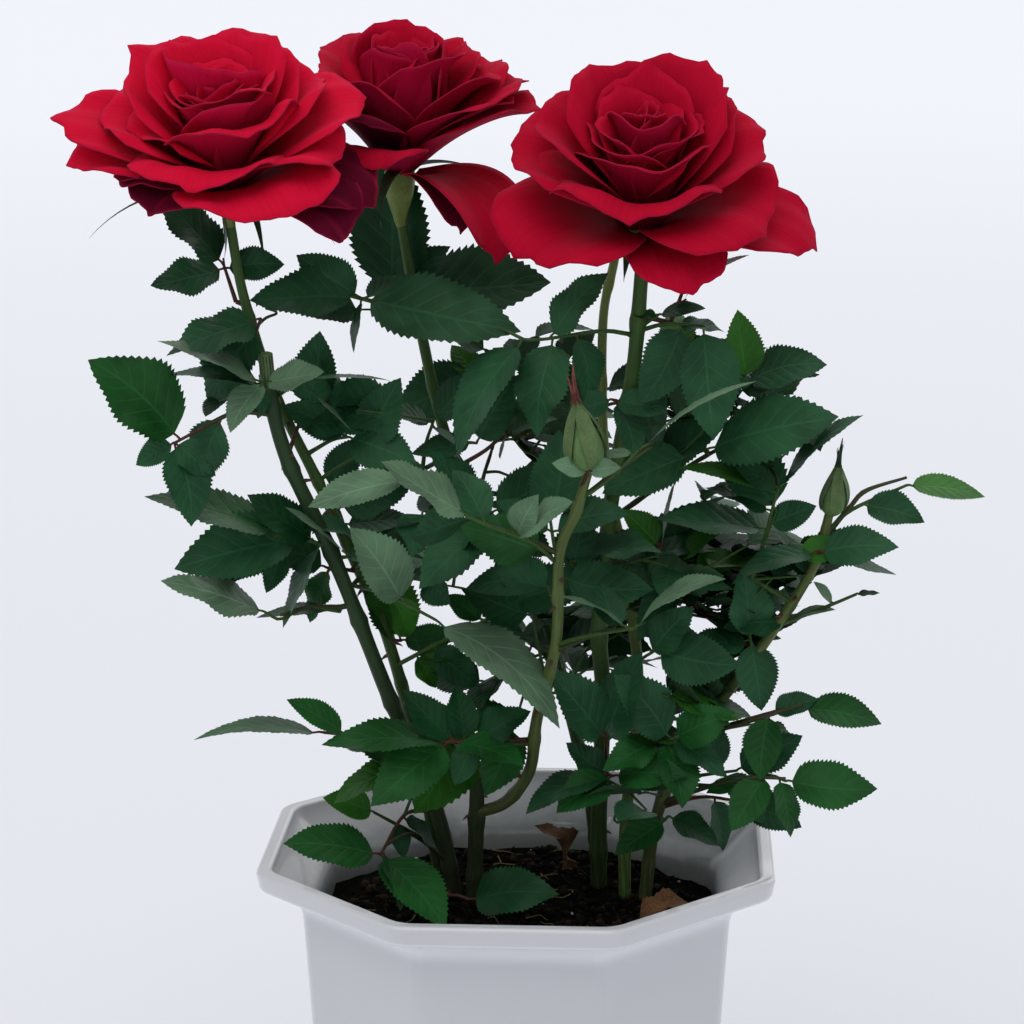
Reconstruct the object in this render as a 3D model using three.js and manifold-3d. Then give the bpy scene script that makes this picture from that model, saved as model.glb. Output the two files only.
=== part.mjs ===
// A potted patio rose in millimetres, +Z up, standing on the pot's flat underside at the origin.
// Eight-sided glazed pot, soil, canes cut flat at the soil, side boughs, three open blooms, two buds,
// and the uneven leaf clumps that give the crown its outline.
import * as THREE from 'three';
import { mergeVertices } from 'three/addons/utils/BufferGeometryUtils.js';
import Module from 'manifold-3d';

const wasm = await Module();
wasm.setup();

// Driving sizes
const GAP = 0.3; // clearance left between pieces that touch
const POT_HEIGHT = 110;
const RIM_HALF = 64; // half of the rim's width across flats
const RIM_BAND = 5; // height of the rim's upright band
const RIM_WALL = 3.4; // thickness of the rim at its lip
const WALL_TOP_HALF = 53.4; // half of the wall's width just under the cove
const WALL_FOOT_HALF = 47.5;
const WALL = 3.6;
const FLOOR = 6;
const COVE = 10; // height of the hollow curve under the rim
const FACET_TOLERANCE = 0.3; // slivers thinner than this are merged after a cut
const SOIL_TOP = 93;
const SOIL_EDGE_DROP = 1.5; // how far the soil falls away towards the wall
const SIDES = 8;
const CANE_SIDES = 6;
const BOUGH_SIDES = 5;
const TIP_SIDES = 8;
const LIMB_STEP = 20; // length of one straight stretch of a limb

const colours = {
  glaze: { color: 0xe9edf2, roughness: 0.25, metalness: 0 },
  soil: { color: 0x2a1e17, roughness: 0.95, metalness: 0 },
  cane: { color: 0x4f6b3a, roughness: 0.7, metalness: 0 },
  leaf: { color: 0x1f4a2c, roughness: 0.6, metalness: 0 },
  petal: { color: 0xb5081c, roughness: 0.65, metalness: 0 },
  bud: { color: 0x6f9150, roughness: 0.6, metalness: 0 },
};

const rose = new THREE.Group();

function addNode(name, geometry, finish) {
  const flatShaded = geometry.toNonIndexed();
  flatShaded.computeVertexNormals();
  const mesh = new THREE.Mesh(flatShaded, new THREE.MeshStandardMaterial({ ...colours[finish], name: finish }));
  mesh.name = name;
  rose.add(mesh);
}

// Seeded random numbers from 0 to 1, the same on every run
function seededRandom(seed) {
  let state = seed;
  return () => {
    state = (state * 1664525 + 1013904223) % 4294967296;
    return state / 4294967296;
  };
}

function toSolid(geometry) {
  const bare = geometry.clone();
  bare.deleteAttribute('normal');
  bare.deleteAttribute('uv');
  const merged = mergeVertices(bare, 1e-4);
  return new wasm.Manifold(new wasm.Mesh({
    numProp: 3,
    vertProperties: new Float32Array(merged.attributes.position.array),
    triVerts: new Uint32Array(merged.index.array),
  }));
}

function toGeometry(solid) {
  const mesh = solid.getMesh();
  const geometry = new THREE.BufferGeometry();
  geometry.setAttribute('position', new THREE.BufferAttribute(new Float32Array(mesh.vertProperties), 3));
  geometry.setIndex(new THREE.BufferAttribute(new Uint32Array(mesh.triVerts), 1));
  return geometry;
}

// Cuts every blocker out of a solid and keeps the largest piece that is left
function cutAround(geometry, blockers) {
  let solid = toSolid(geometry);
  for (const blocker of blockers) {
    solid = solid.subtract(blocker);
  }
  const pieces = solid.decompose();
  pieces.sort((a, b) => b.volume() - a.volume());
  return toGeometry(pieces[0].simplify(FACET_TOLERANCE));
}

// An eight-sided turned form from [half width across flats, height] points, flats facing the axes
function octagonal(outline) {
  const cornerScale = 1 / Math.cos(Math.PI / SIDES);
  const points = outline.map(([half, height]) => new THREE.Vector2(half * cornerScale, height));
  const geometry = new THREE.LatheGeometry(points, SIDES, Math.PI / SIDES);
  return geometry.rotateX(Math.PI / 2);
}

// Half width of the pot's outer wall at a height below the cove
function wallHalf(height) {
  const share = height / (POT_HEIGHT - RIM_BAND - COVE);
  return THREE.MathUtils.lerp(WALL_FOOT_HALF, WALL_TOP_HALF, share);
}

// The pot is one ceramic piece, held as two nodes that meet face to face under the cove
function makePot() {
  const seam = POT_HEIGHT - RIM_BAND - COVE;
  const outerSeam = wallHalf(seam);
  const innerSeam = outerSeam - WALL;
  const body = [[0, 0], [wallHalf(0) - 1.5, 0], [wallHalf(0), 1.5], [outerSeam, seam]];
  body.push([innerSeam, seam], [wallHalf(FLOOR) - WALL, FLOOR], [0, FLOOR]);
  addNode('pot_wall', octagonal(body), 'glaze');

  const bandFoot = POT_HEIGHT - RIM_BAND;
  const edge = 1; // how far the rim's edges are rounded
  const rim = [[outerSeam, seam]];
  const coveSteps = 3;
  for (let i = 1; i <= coveSteps; i += 1) {
    const angle = (i / coveSteps) * (Math.PI / 2);
    const out = 1 - Math.cos(angle);
    rim.push([outerSeam + out * (RIM_HALF - edge - outerSeam), seam + Math.sin(angle) * COVE]);
  }
  rim.push([RIM_HALF, bandFoot + edge], [RIM_HALF + 0.6, POT_HEIGHT - edge], [RIM_HALF - 0.3, POT_HEIGHT]);
  rim.push([RIM_HALF - RIM_WALL + edge, POT_HEIGHT], [RIM_HALF - RIM_WALL, POT_HEIGHT - edge]);
  rim.push([RIM_HALF - RIM_WALL - 3, bandFoot], [innerSeam + 1.5, seam + 4], [innerSeam, seam], rim[0]);
  addNode('pot_rim', octagonal(rim), 'glaze');
}

function makeSoil() {
  const bottom = FLOOR + GAP;
  const edge = SOIL_TOP - SOIL_EDGE_DROP;
  const inset = WALL + GAP;
  const outline = [[0, bottom], [wallHalf(bottom) - inset, bottom], [wallHalf(edge) - inset, edge]];
  outline.push([wallHalf(edge) - inset - 9, SOIL_TOP], [0, SOIL_TOP]);
  addNode('soil', octagonal(outline), 'soil');
}

// One tapering limb: a cylinder bent along a smooth route, its base face square to the route
function limbGeometry({ route, base, tip, sides }, grow = 0) {
  const curve = new THREE.CatmullRomCurve3(route.map((point) => new THREE.Vector3(...point)));
  const steps = Math.max(3, Math.round(curve.getLength() / LIMB_STEP));
  const geometry = new THREE.CylinderGeometry(1, 1, 1, sides, steps);
  const frames = curve.computeFrenetFrames(steps);
  const place = geometry.attributes.position;
  const spot = new THREE.Vector3();
  for (let i = 0; i < place.count; i += 1) {
    const along = place.getY(i) + 0.5;
    const ring = Math.round(along * steps);
    const radius = THREE.MathUtils.lerp(base, tip, along) + grow;
    curve.getPointAt(along, spot);
    spot.addScaledVector(frames.normals[ring], place.getZ(i) * radius);
    spot.addScaledVector(frames.binormals[ring], place.getX(i) * radius);
    const end = along < 0.001 ? -1 : Number(along > 0.999);
    spot.addScaledVector(frames.tangents[ring], end * grow);
    place.setXYZ(i, spot.x, spot.y, spot.z);
  }
  return geometry;
}

// A soil-level cane starts straight up, so that its foot is cut flat on the soil
function fromSoil(x, y, ...rest) {
  const foot = SOIL_TOP + GAP;
  return [[x, y, foot], [x, y, foot + 3], ...rest];
}

const stems = {
  left: { base: 1.9, tip: 1.5, route: fromSoil(-17, 7, [-22, 4, 118], [-34, 0, 150], [-46, -4, 184],
    [-57, -7, 210], [-61, -8, 226], [-62, -9, 237]) },
  left_bloom: { base: 1.7, tip: 1.2, route: fromSoil(-21, 12, [-26, 9, 128], [-34, 7, 161], [-41, 6, 179],
    [-51, 3, 203], [-61, 0, 226], [-68, -2, 250], [-71, -4, 270]) },
  cut: { base: 2.1, tip: 1.9, route: fromSoil(-12, 4, [-11, 1, 118], [-11, 0, 128]) },
  front: { parent: 'cut', base: 1.6, tip: 1.2, route: [[-11, 1, 117], [-3, -4, 122], [3, -9, 132],
    [5, -15, 147], [10, -22, 169], [11, -27, 192], [15, -30, 203], [18, -32, 214]] },
  centre: { base: 1.8, tip: 1.3, route: fromSoil(20, 26, [17, 25, 116], [11, 25, 141], [4, 27, 166],
    [-9, 28, 188], [-20, 29, 208], [-27, 29, 238], [-32, 30, 266]) },
  right_bloom: { base: 1.9, tip: 1.3, route: fromSoil(20, 17, [20, 13, 112], [21, 6, 146], [20, 3, 168],
    [23, 1, 200], [28, -2, 232], [30, -4, 258]) },
  pale: { base: 1.6, tip: 1.1, route: fromSoil(27, 9, [27, 10, 113], [30, 12, 145], [27, 15, 175],
    [21, 19, 205], [20, 20, 240], [23, 18, 258]) },
  right: { base: 1.7, tip: 1.1, route: fromSoil(32, 7, [35, 4, 116], [43, 2, 137], [54, 1, 152],
    [66, 0, 170], [74, -2, 185], [77, -3, 198]) },
};

const boughs = {
  left_out: { parent: 'left', route: [[-60, -8, 224], [-68, -11, 218], [-78, -13, 215]] },
  left_mid: { parent: 'left', route: [[-43, -3, 175], [-52, -8, 176], [-60, -9, 174]] },
  left_low: { parent: 'front', route: [[4, -12, 140], [-5, -15, 140], [-15, -17, 139]] },
  front_left: { parent: 'front', route: [[11, -27, 192], [-4, -33, 197], [-20, -36, 203]] },
  front_right: { parent: 'front', route: [[10, -22, 169], [24, -30, 173], [42, -36, 181]] },
  front_upper: { parent: 'front', route: [[16, -31, 207], [32, -33, 221], [50, -31, 233]] },
  left_pot: { parent: 'left', route: [[-20, 5, 107], [-26, -6, 110], [-34, -16, 111]] },
  right_low: { parent: 'right', route: [[43, 2, 137], [57, -5, 143], [74, -8, 148]] },
  right_pot: { parent: 'right', route: [[35, 4, 117], [52, -4, 127], [72, -9, 131]] },
  right_tip: { parent: 'right', route: [[74, -2, 187], [87, -1, 200], [102, 1, 204]] },
  right_upper: { parent: 'pale', route: [[24, 17, 192], [42, 12, 206], [60, 4, 218]] },
  back_upper: { parent: 'centre', route: [[-9, 28, 188], [-12, 40, 194], [-10, 52, 202]] },
  back_low: { parent: 'centre', route: [[14, 25, 130], [11, 38, 137], [4, 50, 146]] },
};
const BOUGH_BASE = 1;
const BOUGH_TIP = 0.6;

const solids = {}; // clearance solids of what is already placed, which later pieces are cut around

function placeLimb(kind, name, limb) {
  const cutters = limb.parent ? [solids[`stem_${limb.parent}`]] : [];
  const id = `${kind}_${name}`;
  addNode(id, cutAround(limbGeometry(limb), cutters), 'cane');
  solids[id] = toSolid(limbGeometry(limb, GAP));
}

function makeLimbs() {
  for (const [name, stem] of Object.entries(stems)) {
    placeLimb('stem', name, { ...stem, sides: CANE_SIDES });
  }
  for (const [name, bough] of Object.entries(boughs)) {
    placeLimb('bough', name, { ...bough, base: BOUGH_BASE, tip: BOUGH_TIP, sides: BOUGH_SIDES });
  }
}

// Turns a form that stands along +Y so that it points along a direction, and moves it
function standAlong(geometry, direction, at) {
  const turn = new THREE.Quaternion().setFromUnitVectors(new THREE.Vector3(0, 1, 0), direction);
  return geometry.applyQuaternion(turn).translate(...at);
}

function endOf(stemName) {
  const curve = new THREE.CatmullRomCurve3(stems[stemName].route.map((point) => new THREE.Vector3(...point)));
  return { at: curve.getPointAt(1), direction: curve.getTangentAt(1) };
}

// A turned piece that sits on a stem's tip: [radius, height] points above the tip
function placeOnTip(id, stemName, outline, finish) {
  const { at, direction } = endOf(stemName);
  const points = outline.map(([radius, height]) => new THREE.Vector2(radius, height + GAP));
  const geometry = standAlong(new THREE.LatheGeometry(points, TIP_SIDES), direction, at.toArray());
  addNode(id, geometry, finish);
  const grown = outline.map(([radius, height], i) => {
    const lift = i === 0 ? -GAP : Number(i === outline.length - 1) * GAP;
    return new THREE.Vector2(radius && radius + GAP, height + GAP + lift);
  });
  solids[id] = toSolid(standAlong(new THREE.LatheGeometry(grown, TIP_SIDES), direction, at.toArray()));
}

const calyxes = {
  left: { stem: 'left_bloom', height: 6, width: 7 },
  centre: { stem: 'centre', height: 11, width: 7 },
  right: { stem: 'right_bloom', height: 6, width: 7.5 },
};

const buds = {
  front: { stem: 'front', height: 26, width: 9.6 },
  right: { stem: 'right', height: 19, width: 7.4 },
};

function makeTips() {
  for (const [name, { stem, height, width }] of Object.entries(calyxes)) {
    const outline = [[0, 0], [1.3, 0], [width * 0.42, height * 0.6], [width / 2, height], [0, height]];
    placeOnTip(`calyx_${name}`, stem, outline, 'bud');
  }
  for (const [name, { stem, height, width }] of Object.entries(buds)) {
    const girth = [[0, 0], [0.18, 0], [0.32, 0.1], [0.47, 0.22], [0.5, 0.34], [0.36, 0.52], [0.14, 0.72]];
    const outline = girth.map(([across, up]) => [across * width, up * height]);
    placeOnTip(`bud_${name}`, stem, [...outline, [0, height]], 'bud');
  }
}

const LOBES = 9;
const LOBE_SHARPNESS = 5;

// An uneven rounded solid with lobes in seeded directions, flattened or stretched to its size.
// pinch narrows its underside, as a cupped flower's is.
function clumpGeometry(clump, grow = 0) {
  const { at, size, tilt = 0, turn = 0, depth = 0.4, pinch = 0, detail, seed } = clump;
  const random = seededRandom(seed);
  const directions = Array.from({ length: LOBES }, () => {
    const height = random() * 1.8 - 0.9;
    const heading = random() * Math.PI * 2;
    const level = Math.sqrt(1 - height * height);
    return new THREE.Vector3(level * Math.cos(heading), level * Math.sin(heading), height);
  });
  const geometry = new THREE.IcosahedronGeometry(1, detail);
  const place = geometry.attributes.position;
  const spot = new THREE.Vector3();
  for (let i = 0; i < place.count; i += 1) {
    spot.fromBufferAttribute(place, i).normalize();
    const nearest = Math.max(0, ...directions.map((direction) => spot.dot(direction)));
    const reach = 1 - depth + depth * nearest ** LOBE_SHARPNESS;
    const narrow = spot.z < 0 ? 1 + pinch * spot.z : 1;
    place.setXYZ(
      i,
      spot.x * ((size[0] / 2) * reach * narrow + grow),
      spot.y * ((size[1] / 2) * reach * narrow + grow),
      spot.z * ((size[2] / 2) * reach + grow),
    );
  }
  const degrees = THREE.MathUtils.degToRad;
  return geometry.rotateX(degrees(tilt)).rotateY(degrees(turn)).translate(...at);
}

function placeClump(id, clump, finish) {
  addNode(id, cutAround(clumpGeometry(clump), Object.values(solids)), finish);
  solids[id] = toSolid(clumpGeometry(clump, GAP * 1.5));
}

// Open flowers: a cup tipped towards the front, with the petals that hang or spread from it
const flowers = {
  bloom_left: { at: [-68, -8, 291], size: [76, 68, 44], tilt: 24, detail: 3, seed: 11 },
  bloom_centre: { at: [-27, 30, 295], size: [60, 54, 40], tilt: 6, turn: -4, detail: 3, seed: 23 },
  bloom_right: { at: [30, -6, 284], size: [74, 66, 56], tilt: 32, detail: 3, seed: 37 },
  petals_left_drooping: { at: [-98, -13, 288], size: [32, 26, 16], tilt: 10, turn: -28, detail: 1, seed: 5 },
  petal_centre_hanging: { at: [-12, 16, 271], size: [22, 12, 36], tilt: -14, turn: 20, detail: 1, seed: 6 },
  petal_right_side: { at: [61, -4, 272], size: [26, 24, 13], tilt: 10, turn: 22, detail: 1, seed: 7 },
};

function makeFlowers() {
  for (const [name, flower] of Object.entries(flowers)) {
    const pinch = name.startsWith('bloom') ? 0.4 : 0;
    placeClump(name, { depth: 0.2, pinch, ...flower }, 'petal');
  }
}

// Leaf clumps, each with its own middle, overall size and seed
const foliage = {
  left_top: { at: [-77, -7, 261], size: [38, 28, 28], tilt: 10, turn: 15 },
  left_upper: { at: [-66, -8, 231], size: [46, 34, 32], turn: -12 },
  left_out: { at: [-88, -13, 216], size: [36, 24, 50], turn: 8 },
  left_mid: { at: [-68, -8, 186], size: [56, 36, 40], turn: -10 },
  centre_left_upper: { at: [-35, 6, 249], size: [74, 46, 28], turn: 4 },
  centre_upper: { at: [4, 20, 229], size: [52, 48, 54] },
  centre_left: { at: [-36, 2, 216], size: [46, 34, 32] },
  right_upper: { at: [42, 14, 228], size: [56, 52, 54], turn: 6 },
  right_out: { at: [66, 2, 220], size: [48, 36, 40], turn: -18 },
  right_mid: { at: [64, 4, 184], size: [72, 56, 46], turn: 6 },
  right_tip: { at: [102, 1, 202], size: [42, 18, 13], turn: 4 },
  centre_mid: { at: [-16, 4, 188], size: [66, 54, 44] },
  centre_right: { at: [32, 8, 178], size: [58, 58, 56] },
  centre_low: { at: [0, 8, 154], size: [52, 50, 36] },
  right_low: { at: [40, -2, 144], size: [50, 50, 46] },
  left_low: { at: [-30, -12, 134], size: [66, 50, 38] },
  left_low_tip: { at: [-66, -20, 142], size: [36, 18, 13], turn: 4 },
  front_low: { at: [20, -12, 124], size: [50, 40, 32] },
  right_low_spray: { at: [72, -8, 134], size: [48, 30, 44], turn: -6 },
  pot_left: { at: [-38, -20, 111], size: [44, 32, 20], tilt: -8 },
  back_upper: { at: [-2, 48, 202], size: [60, 48, 52] },
  back_mid: { at: [38, 48, 178], size: [58, 48, 56] },
  back_low: { at: [6, 48, 144], size: [64, 46, 44] },
  front_left: { at: [-14, -36, 196], size: [44, 24, 34], turn: -16 },
  front_right: { at: [32, -34, 184], size: [44, 24, 32], turn: 14 },
};
const SMALL_CLUMP = 43; // clumps narrower than this have fewer facets

function makeFoliage() {
  Object.entries(foliage).forEach(([name, clump], i) => {
    const detail = clump.size[0] < SMALL_CLUMP ? 1 : 2;
    placeClump(`foliage_${name}`, { ...clump, detail, seed: 101 + i * 17 }, 'leaf');
  });
}

makePot();
makeSoil();
makeLimbs();
makeTips();
makeFlowers();
makeFoliage();

export default rose;
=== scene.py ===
"""A rose bush with three crimson blooms, standing in a white octagonal pot. Built in metres, +Z up.

The canes, boughs, blooms and pot stand where the CAD model has them. Each mass of foliage becomes sprays of
toothed leaflets: the placed sprays are listed below, and a seeded rule grows the rest out of the wood.
"""

import math
from typing import NamedTuple

import bpy
import numpy as np
from bpy.props import FloatProperty, FloatVectorProperty, IntProperty, PointerProperty
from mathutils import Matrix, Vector, noise


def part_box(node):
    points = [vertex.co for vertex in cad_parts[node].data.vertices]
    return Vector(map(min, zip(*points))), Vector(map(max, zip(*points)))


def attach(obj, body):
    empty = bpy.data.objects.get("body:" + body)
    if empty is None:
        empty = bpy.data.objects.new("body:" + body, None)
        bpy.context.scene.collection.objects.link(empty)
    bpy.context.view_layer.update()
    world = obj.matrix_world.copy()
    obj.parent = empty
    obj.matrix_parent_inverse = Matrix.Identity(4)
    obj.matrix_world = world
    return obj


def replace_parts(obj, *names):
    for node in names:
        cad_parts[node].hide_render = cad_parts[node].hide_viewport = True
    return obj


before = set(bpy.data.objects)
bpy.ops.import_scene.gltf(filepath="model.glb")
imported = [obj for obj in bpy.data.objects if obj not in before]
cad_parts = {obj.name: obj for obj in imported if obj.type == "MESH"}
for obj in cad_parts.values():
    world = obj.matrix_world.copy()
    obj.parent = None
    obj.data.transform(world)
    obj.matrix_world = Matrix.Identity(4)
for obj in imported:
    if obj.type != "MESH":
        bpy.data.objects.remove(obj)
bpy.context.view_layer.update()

bl_info = {
    "name": "Potted rose bush",
    "version": (1, 0, 0),
    "blender": (4, 5, 0),
    "location": "3D View > Sidebar > Rose",
    "description": "Builds a patio rose bush in its pot around its CAD frame",
    "category": "Add Mesh",
}

MM = 0.001
BODY = "root"
UV = "along"
UP = np.array((0.0, 0.0, 1.0))

# -------------------- sizes shared with the CAD model, in mm

POT_SIDES = 8
POT_HEIGHT = 110
RIM_HALF = 64            # half the width across flats, at the foot of the rim's band
RIM_BAND = 5
RIM_WALL = 3.4
WALL_TOP_HALF = 53.4
WALL_FOOT_HALF = 47.5
WALL = 3.6
WALL_INSIDE = WALL_TOP_HALF - WALL
COVE = 10
SOIL_TOP = 93


class Limb(NamedTuple):
    """A cane or bough: its radius at foot and tip, the points it grows through (mm), and its finish."""

    foot: float
    tip: float
    route: tuple
    finish: str


CANES = {
    "left": Limb(2.0, 1.8, (
        (-17, 7, 92), (-22, 4, 118), (-34, 0, 150), (-46, -4, 184), (-57, -7, 210), (-61, -8, 226),
        (-62, -9, 237),
    ), "cane_old"),
    "left_bloom": Limb(1.7, 1.2, (
        (-21, 12, 92), (-26, 9, 128), (-34, 7, 161), (-41, 6, 179), (-51, 3, 203), (-61, 0, 226),
        (-68, -2, 250), (-71, -4, 270),
    ), "cane_green"),
    "cut": Limb(2.1, 1.9, ((-12, 4, 92), (-11, 1, 118), (-11, 0, 128)), "cane_old"),
    "front": Limb(1.6, 1.2, (
        (-11, 1, 117), (-3, -4, 122), (3, -9, 132), (5, -15, 147), (10, -22, 169), (11, -27, 192),
        (15, -30, 203), (18, -32, 214),
    ), "cane_front"),
    "centre": Limb(1.8, 1.3, (
        (20, 26, 92), (17, 25, 116), (11, 25, 141), (4, 27, 166), (-9, 28, 188), (-20, 29, 208),
        (-27, 29, 238), (-32, 30, 266),
    ), "cane_green"),
    "right_bloom": Limb(2.2, 1.8, (
        (20, 17, 92), (20, 13, 112), (21, 6, 146), (20, 3, 168), (23, 1, 200), (28, -2, 232), (30, -4, 258),
    ), "cane_green"),
    "pale": Limb(1.6, 1.1, (
        (27, 9, 92), (27, 10, 113), (30, 12, 145), (27, 15, 175), (21, 19, 205), (20, 20, 240),
        (23, 18, 258),
    ), "cane_pale"),
    "right": Limb(1.7, 1.1, (
        (32, 7, 92), (35, 4, 116), (43, 2, 137), (54, 1, 152), (66, 0, 170), (74, -2, 185), (77, -3, 198),
    ), "cane_front"),
}

BOUGH_FOOT, BOUGH_TIP = 0.9, 0.45        # radii
BOUGHS = {
    "left_out": ((-60, -8, 222), (-69, -11, 223), (-77, -13, 220)),
    "left_mid": ((-45, -3, 172), (-53, -8, 173), (-59, -12, 172)),
    "left_low": ((4, -12, 140), (-5, -18, 141), (-15, -22, 142)),
    "left_pot": ((-20, 4, 104), (-27, -8, 114), (-33, -17, 114)),
    "front_left": ((11, -27, 192), (2, -31, 197), (-11, -36, 203)),
    "front_right": ((11, -22, 167), (21, -28, 173), (28, -32, 175)),
    "front_upper": ((18, -31, 208), (25, -32, 214), (33, -33, 220)),
    "right_low": ((44, 2, 138), (56, -6, 144), (71, -9, 150)),
    "right_pot": ((35, 4, 119), (46, -4, 126), (57, -10, 131), (67, -13, 132)),
    "right_tip": ((75, -2, 190), (82, -2, 199), (86, -1, 203), (96, 1, 206)),
    "right_upper": ((24, 17, 192), (42, 12, 206), (60, 4, 218)),
    "back_upper": ((-9, 28, 188), (-12, 40, 194), (-10, 52, 202)),
    "back_low": ((14, 25, 130), (11, 38, 137), (4, 50, 146)),
}

# -------------------- the view from the front

CAMERA_PLACE = (36.4, -731.5, 357.1)        # mm
CAMERA_AZIMUTH = 3.0                        # how far it stands to the right of straight in front, in degrees
CAMERA_PITCH = 12.38                        # how far it looks down, in degrees

# Where the sky shows between the leaves, seen from the camera: each gap's middle and half its size, in mm to
# the right and up.
SKY_GAPS = (
    (-43, 237, 9, 9), (-58, 183, 5, 9), (30, 201, 6, 6), (86, 175, 14, 10), (90, 217, 11, 14),
    (-72, 131, 20, 6), (79, 137, 8, 6), (-35, 163, 4, 11), (-7, 211, 9, 4), (-56, 206, 8, 6),
    (46, 208, 9, 4), (-58, 152, 22, 14), (14, 140, 4, 5), (100, 150, 20, 14), (73, 204, 5, 5),
    (-78, 204, 7, 5), (-98, 190, 10, 10), (-47, 126, 8, 6), (62, 148, 6, 5), (24, 239, 4, 6),
    (8, 236, 4, 3), (-70, 208, 8, 8), (-54, 239, 8, 5), (-34, 231, 5, 6), (29, 198, 8, 7),
    (105, 188, 10, 8), (-70, 165, 13, 8), (-50, 132, 8, 6), (60, 136, 5, 5), (4, 136, 3, 5),
    (-63, 262, 5, 4), (-21, 188, 4, 3), (-47, 183, 5, 5), (-101, 214, 7, 8), (-69, 200, 6, 5),
    (29, 200, 12, 8), (76, 198, 11, 7), (17, 233, 6, 5), (-84, 208, 5, 4), (82, 115, 14, 6),
    (87, 135, 8, 6), (56, 197, 5, 5), (-92, 201, 6, 8),
)

# -------------------- the placed sprays

# How a leaflet lies: how much of its width shows from the front. Its upper side looks up or to the front.
OPEN, HALF, TILTED, EDGE, BLADE = 0.93, 0.72, 0.50, 0.26, 0.12

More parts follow.
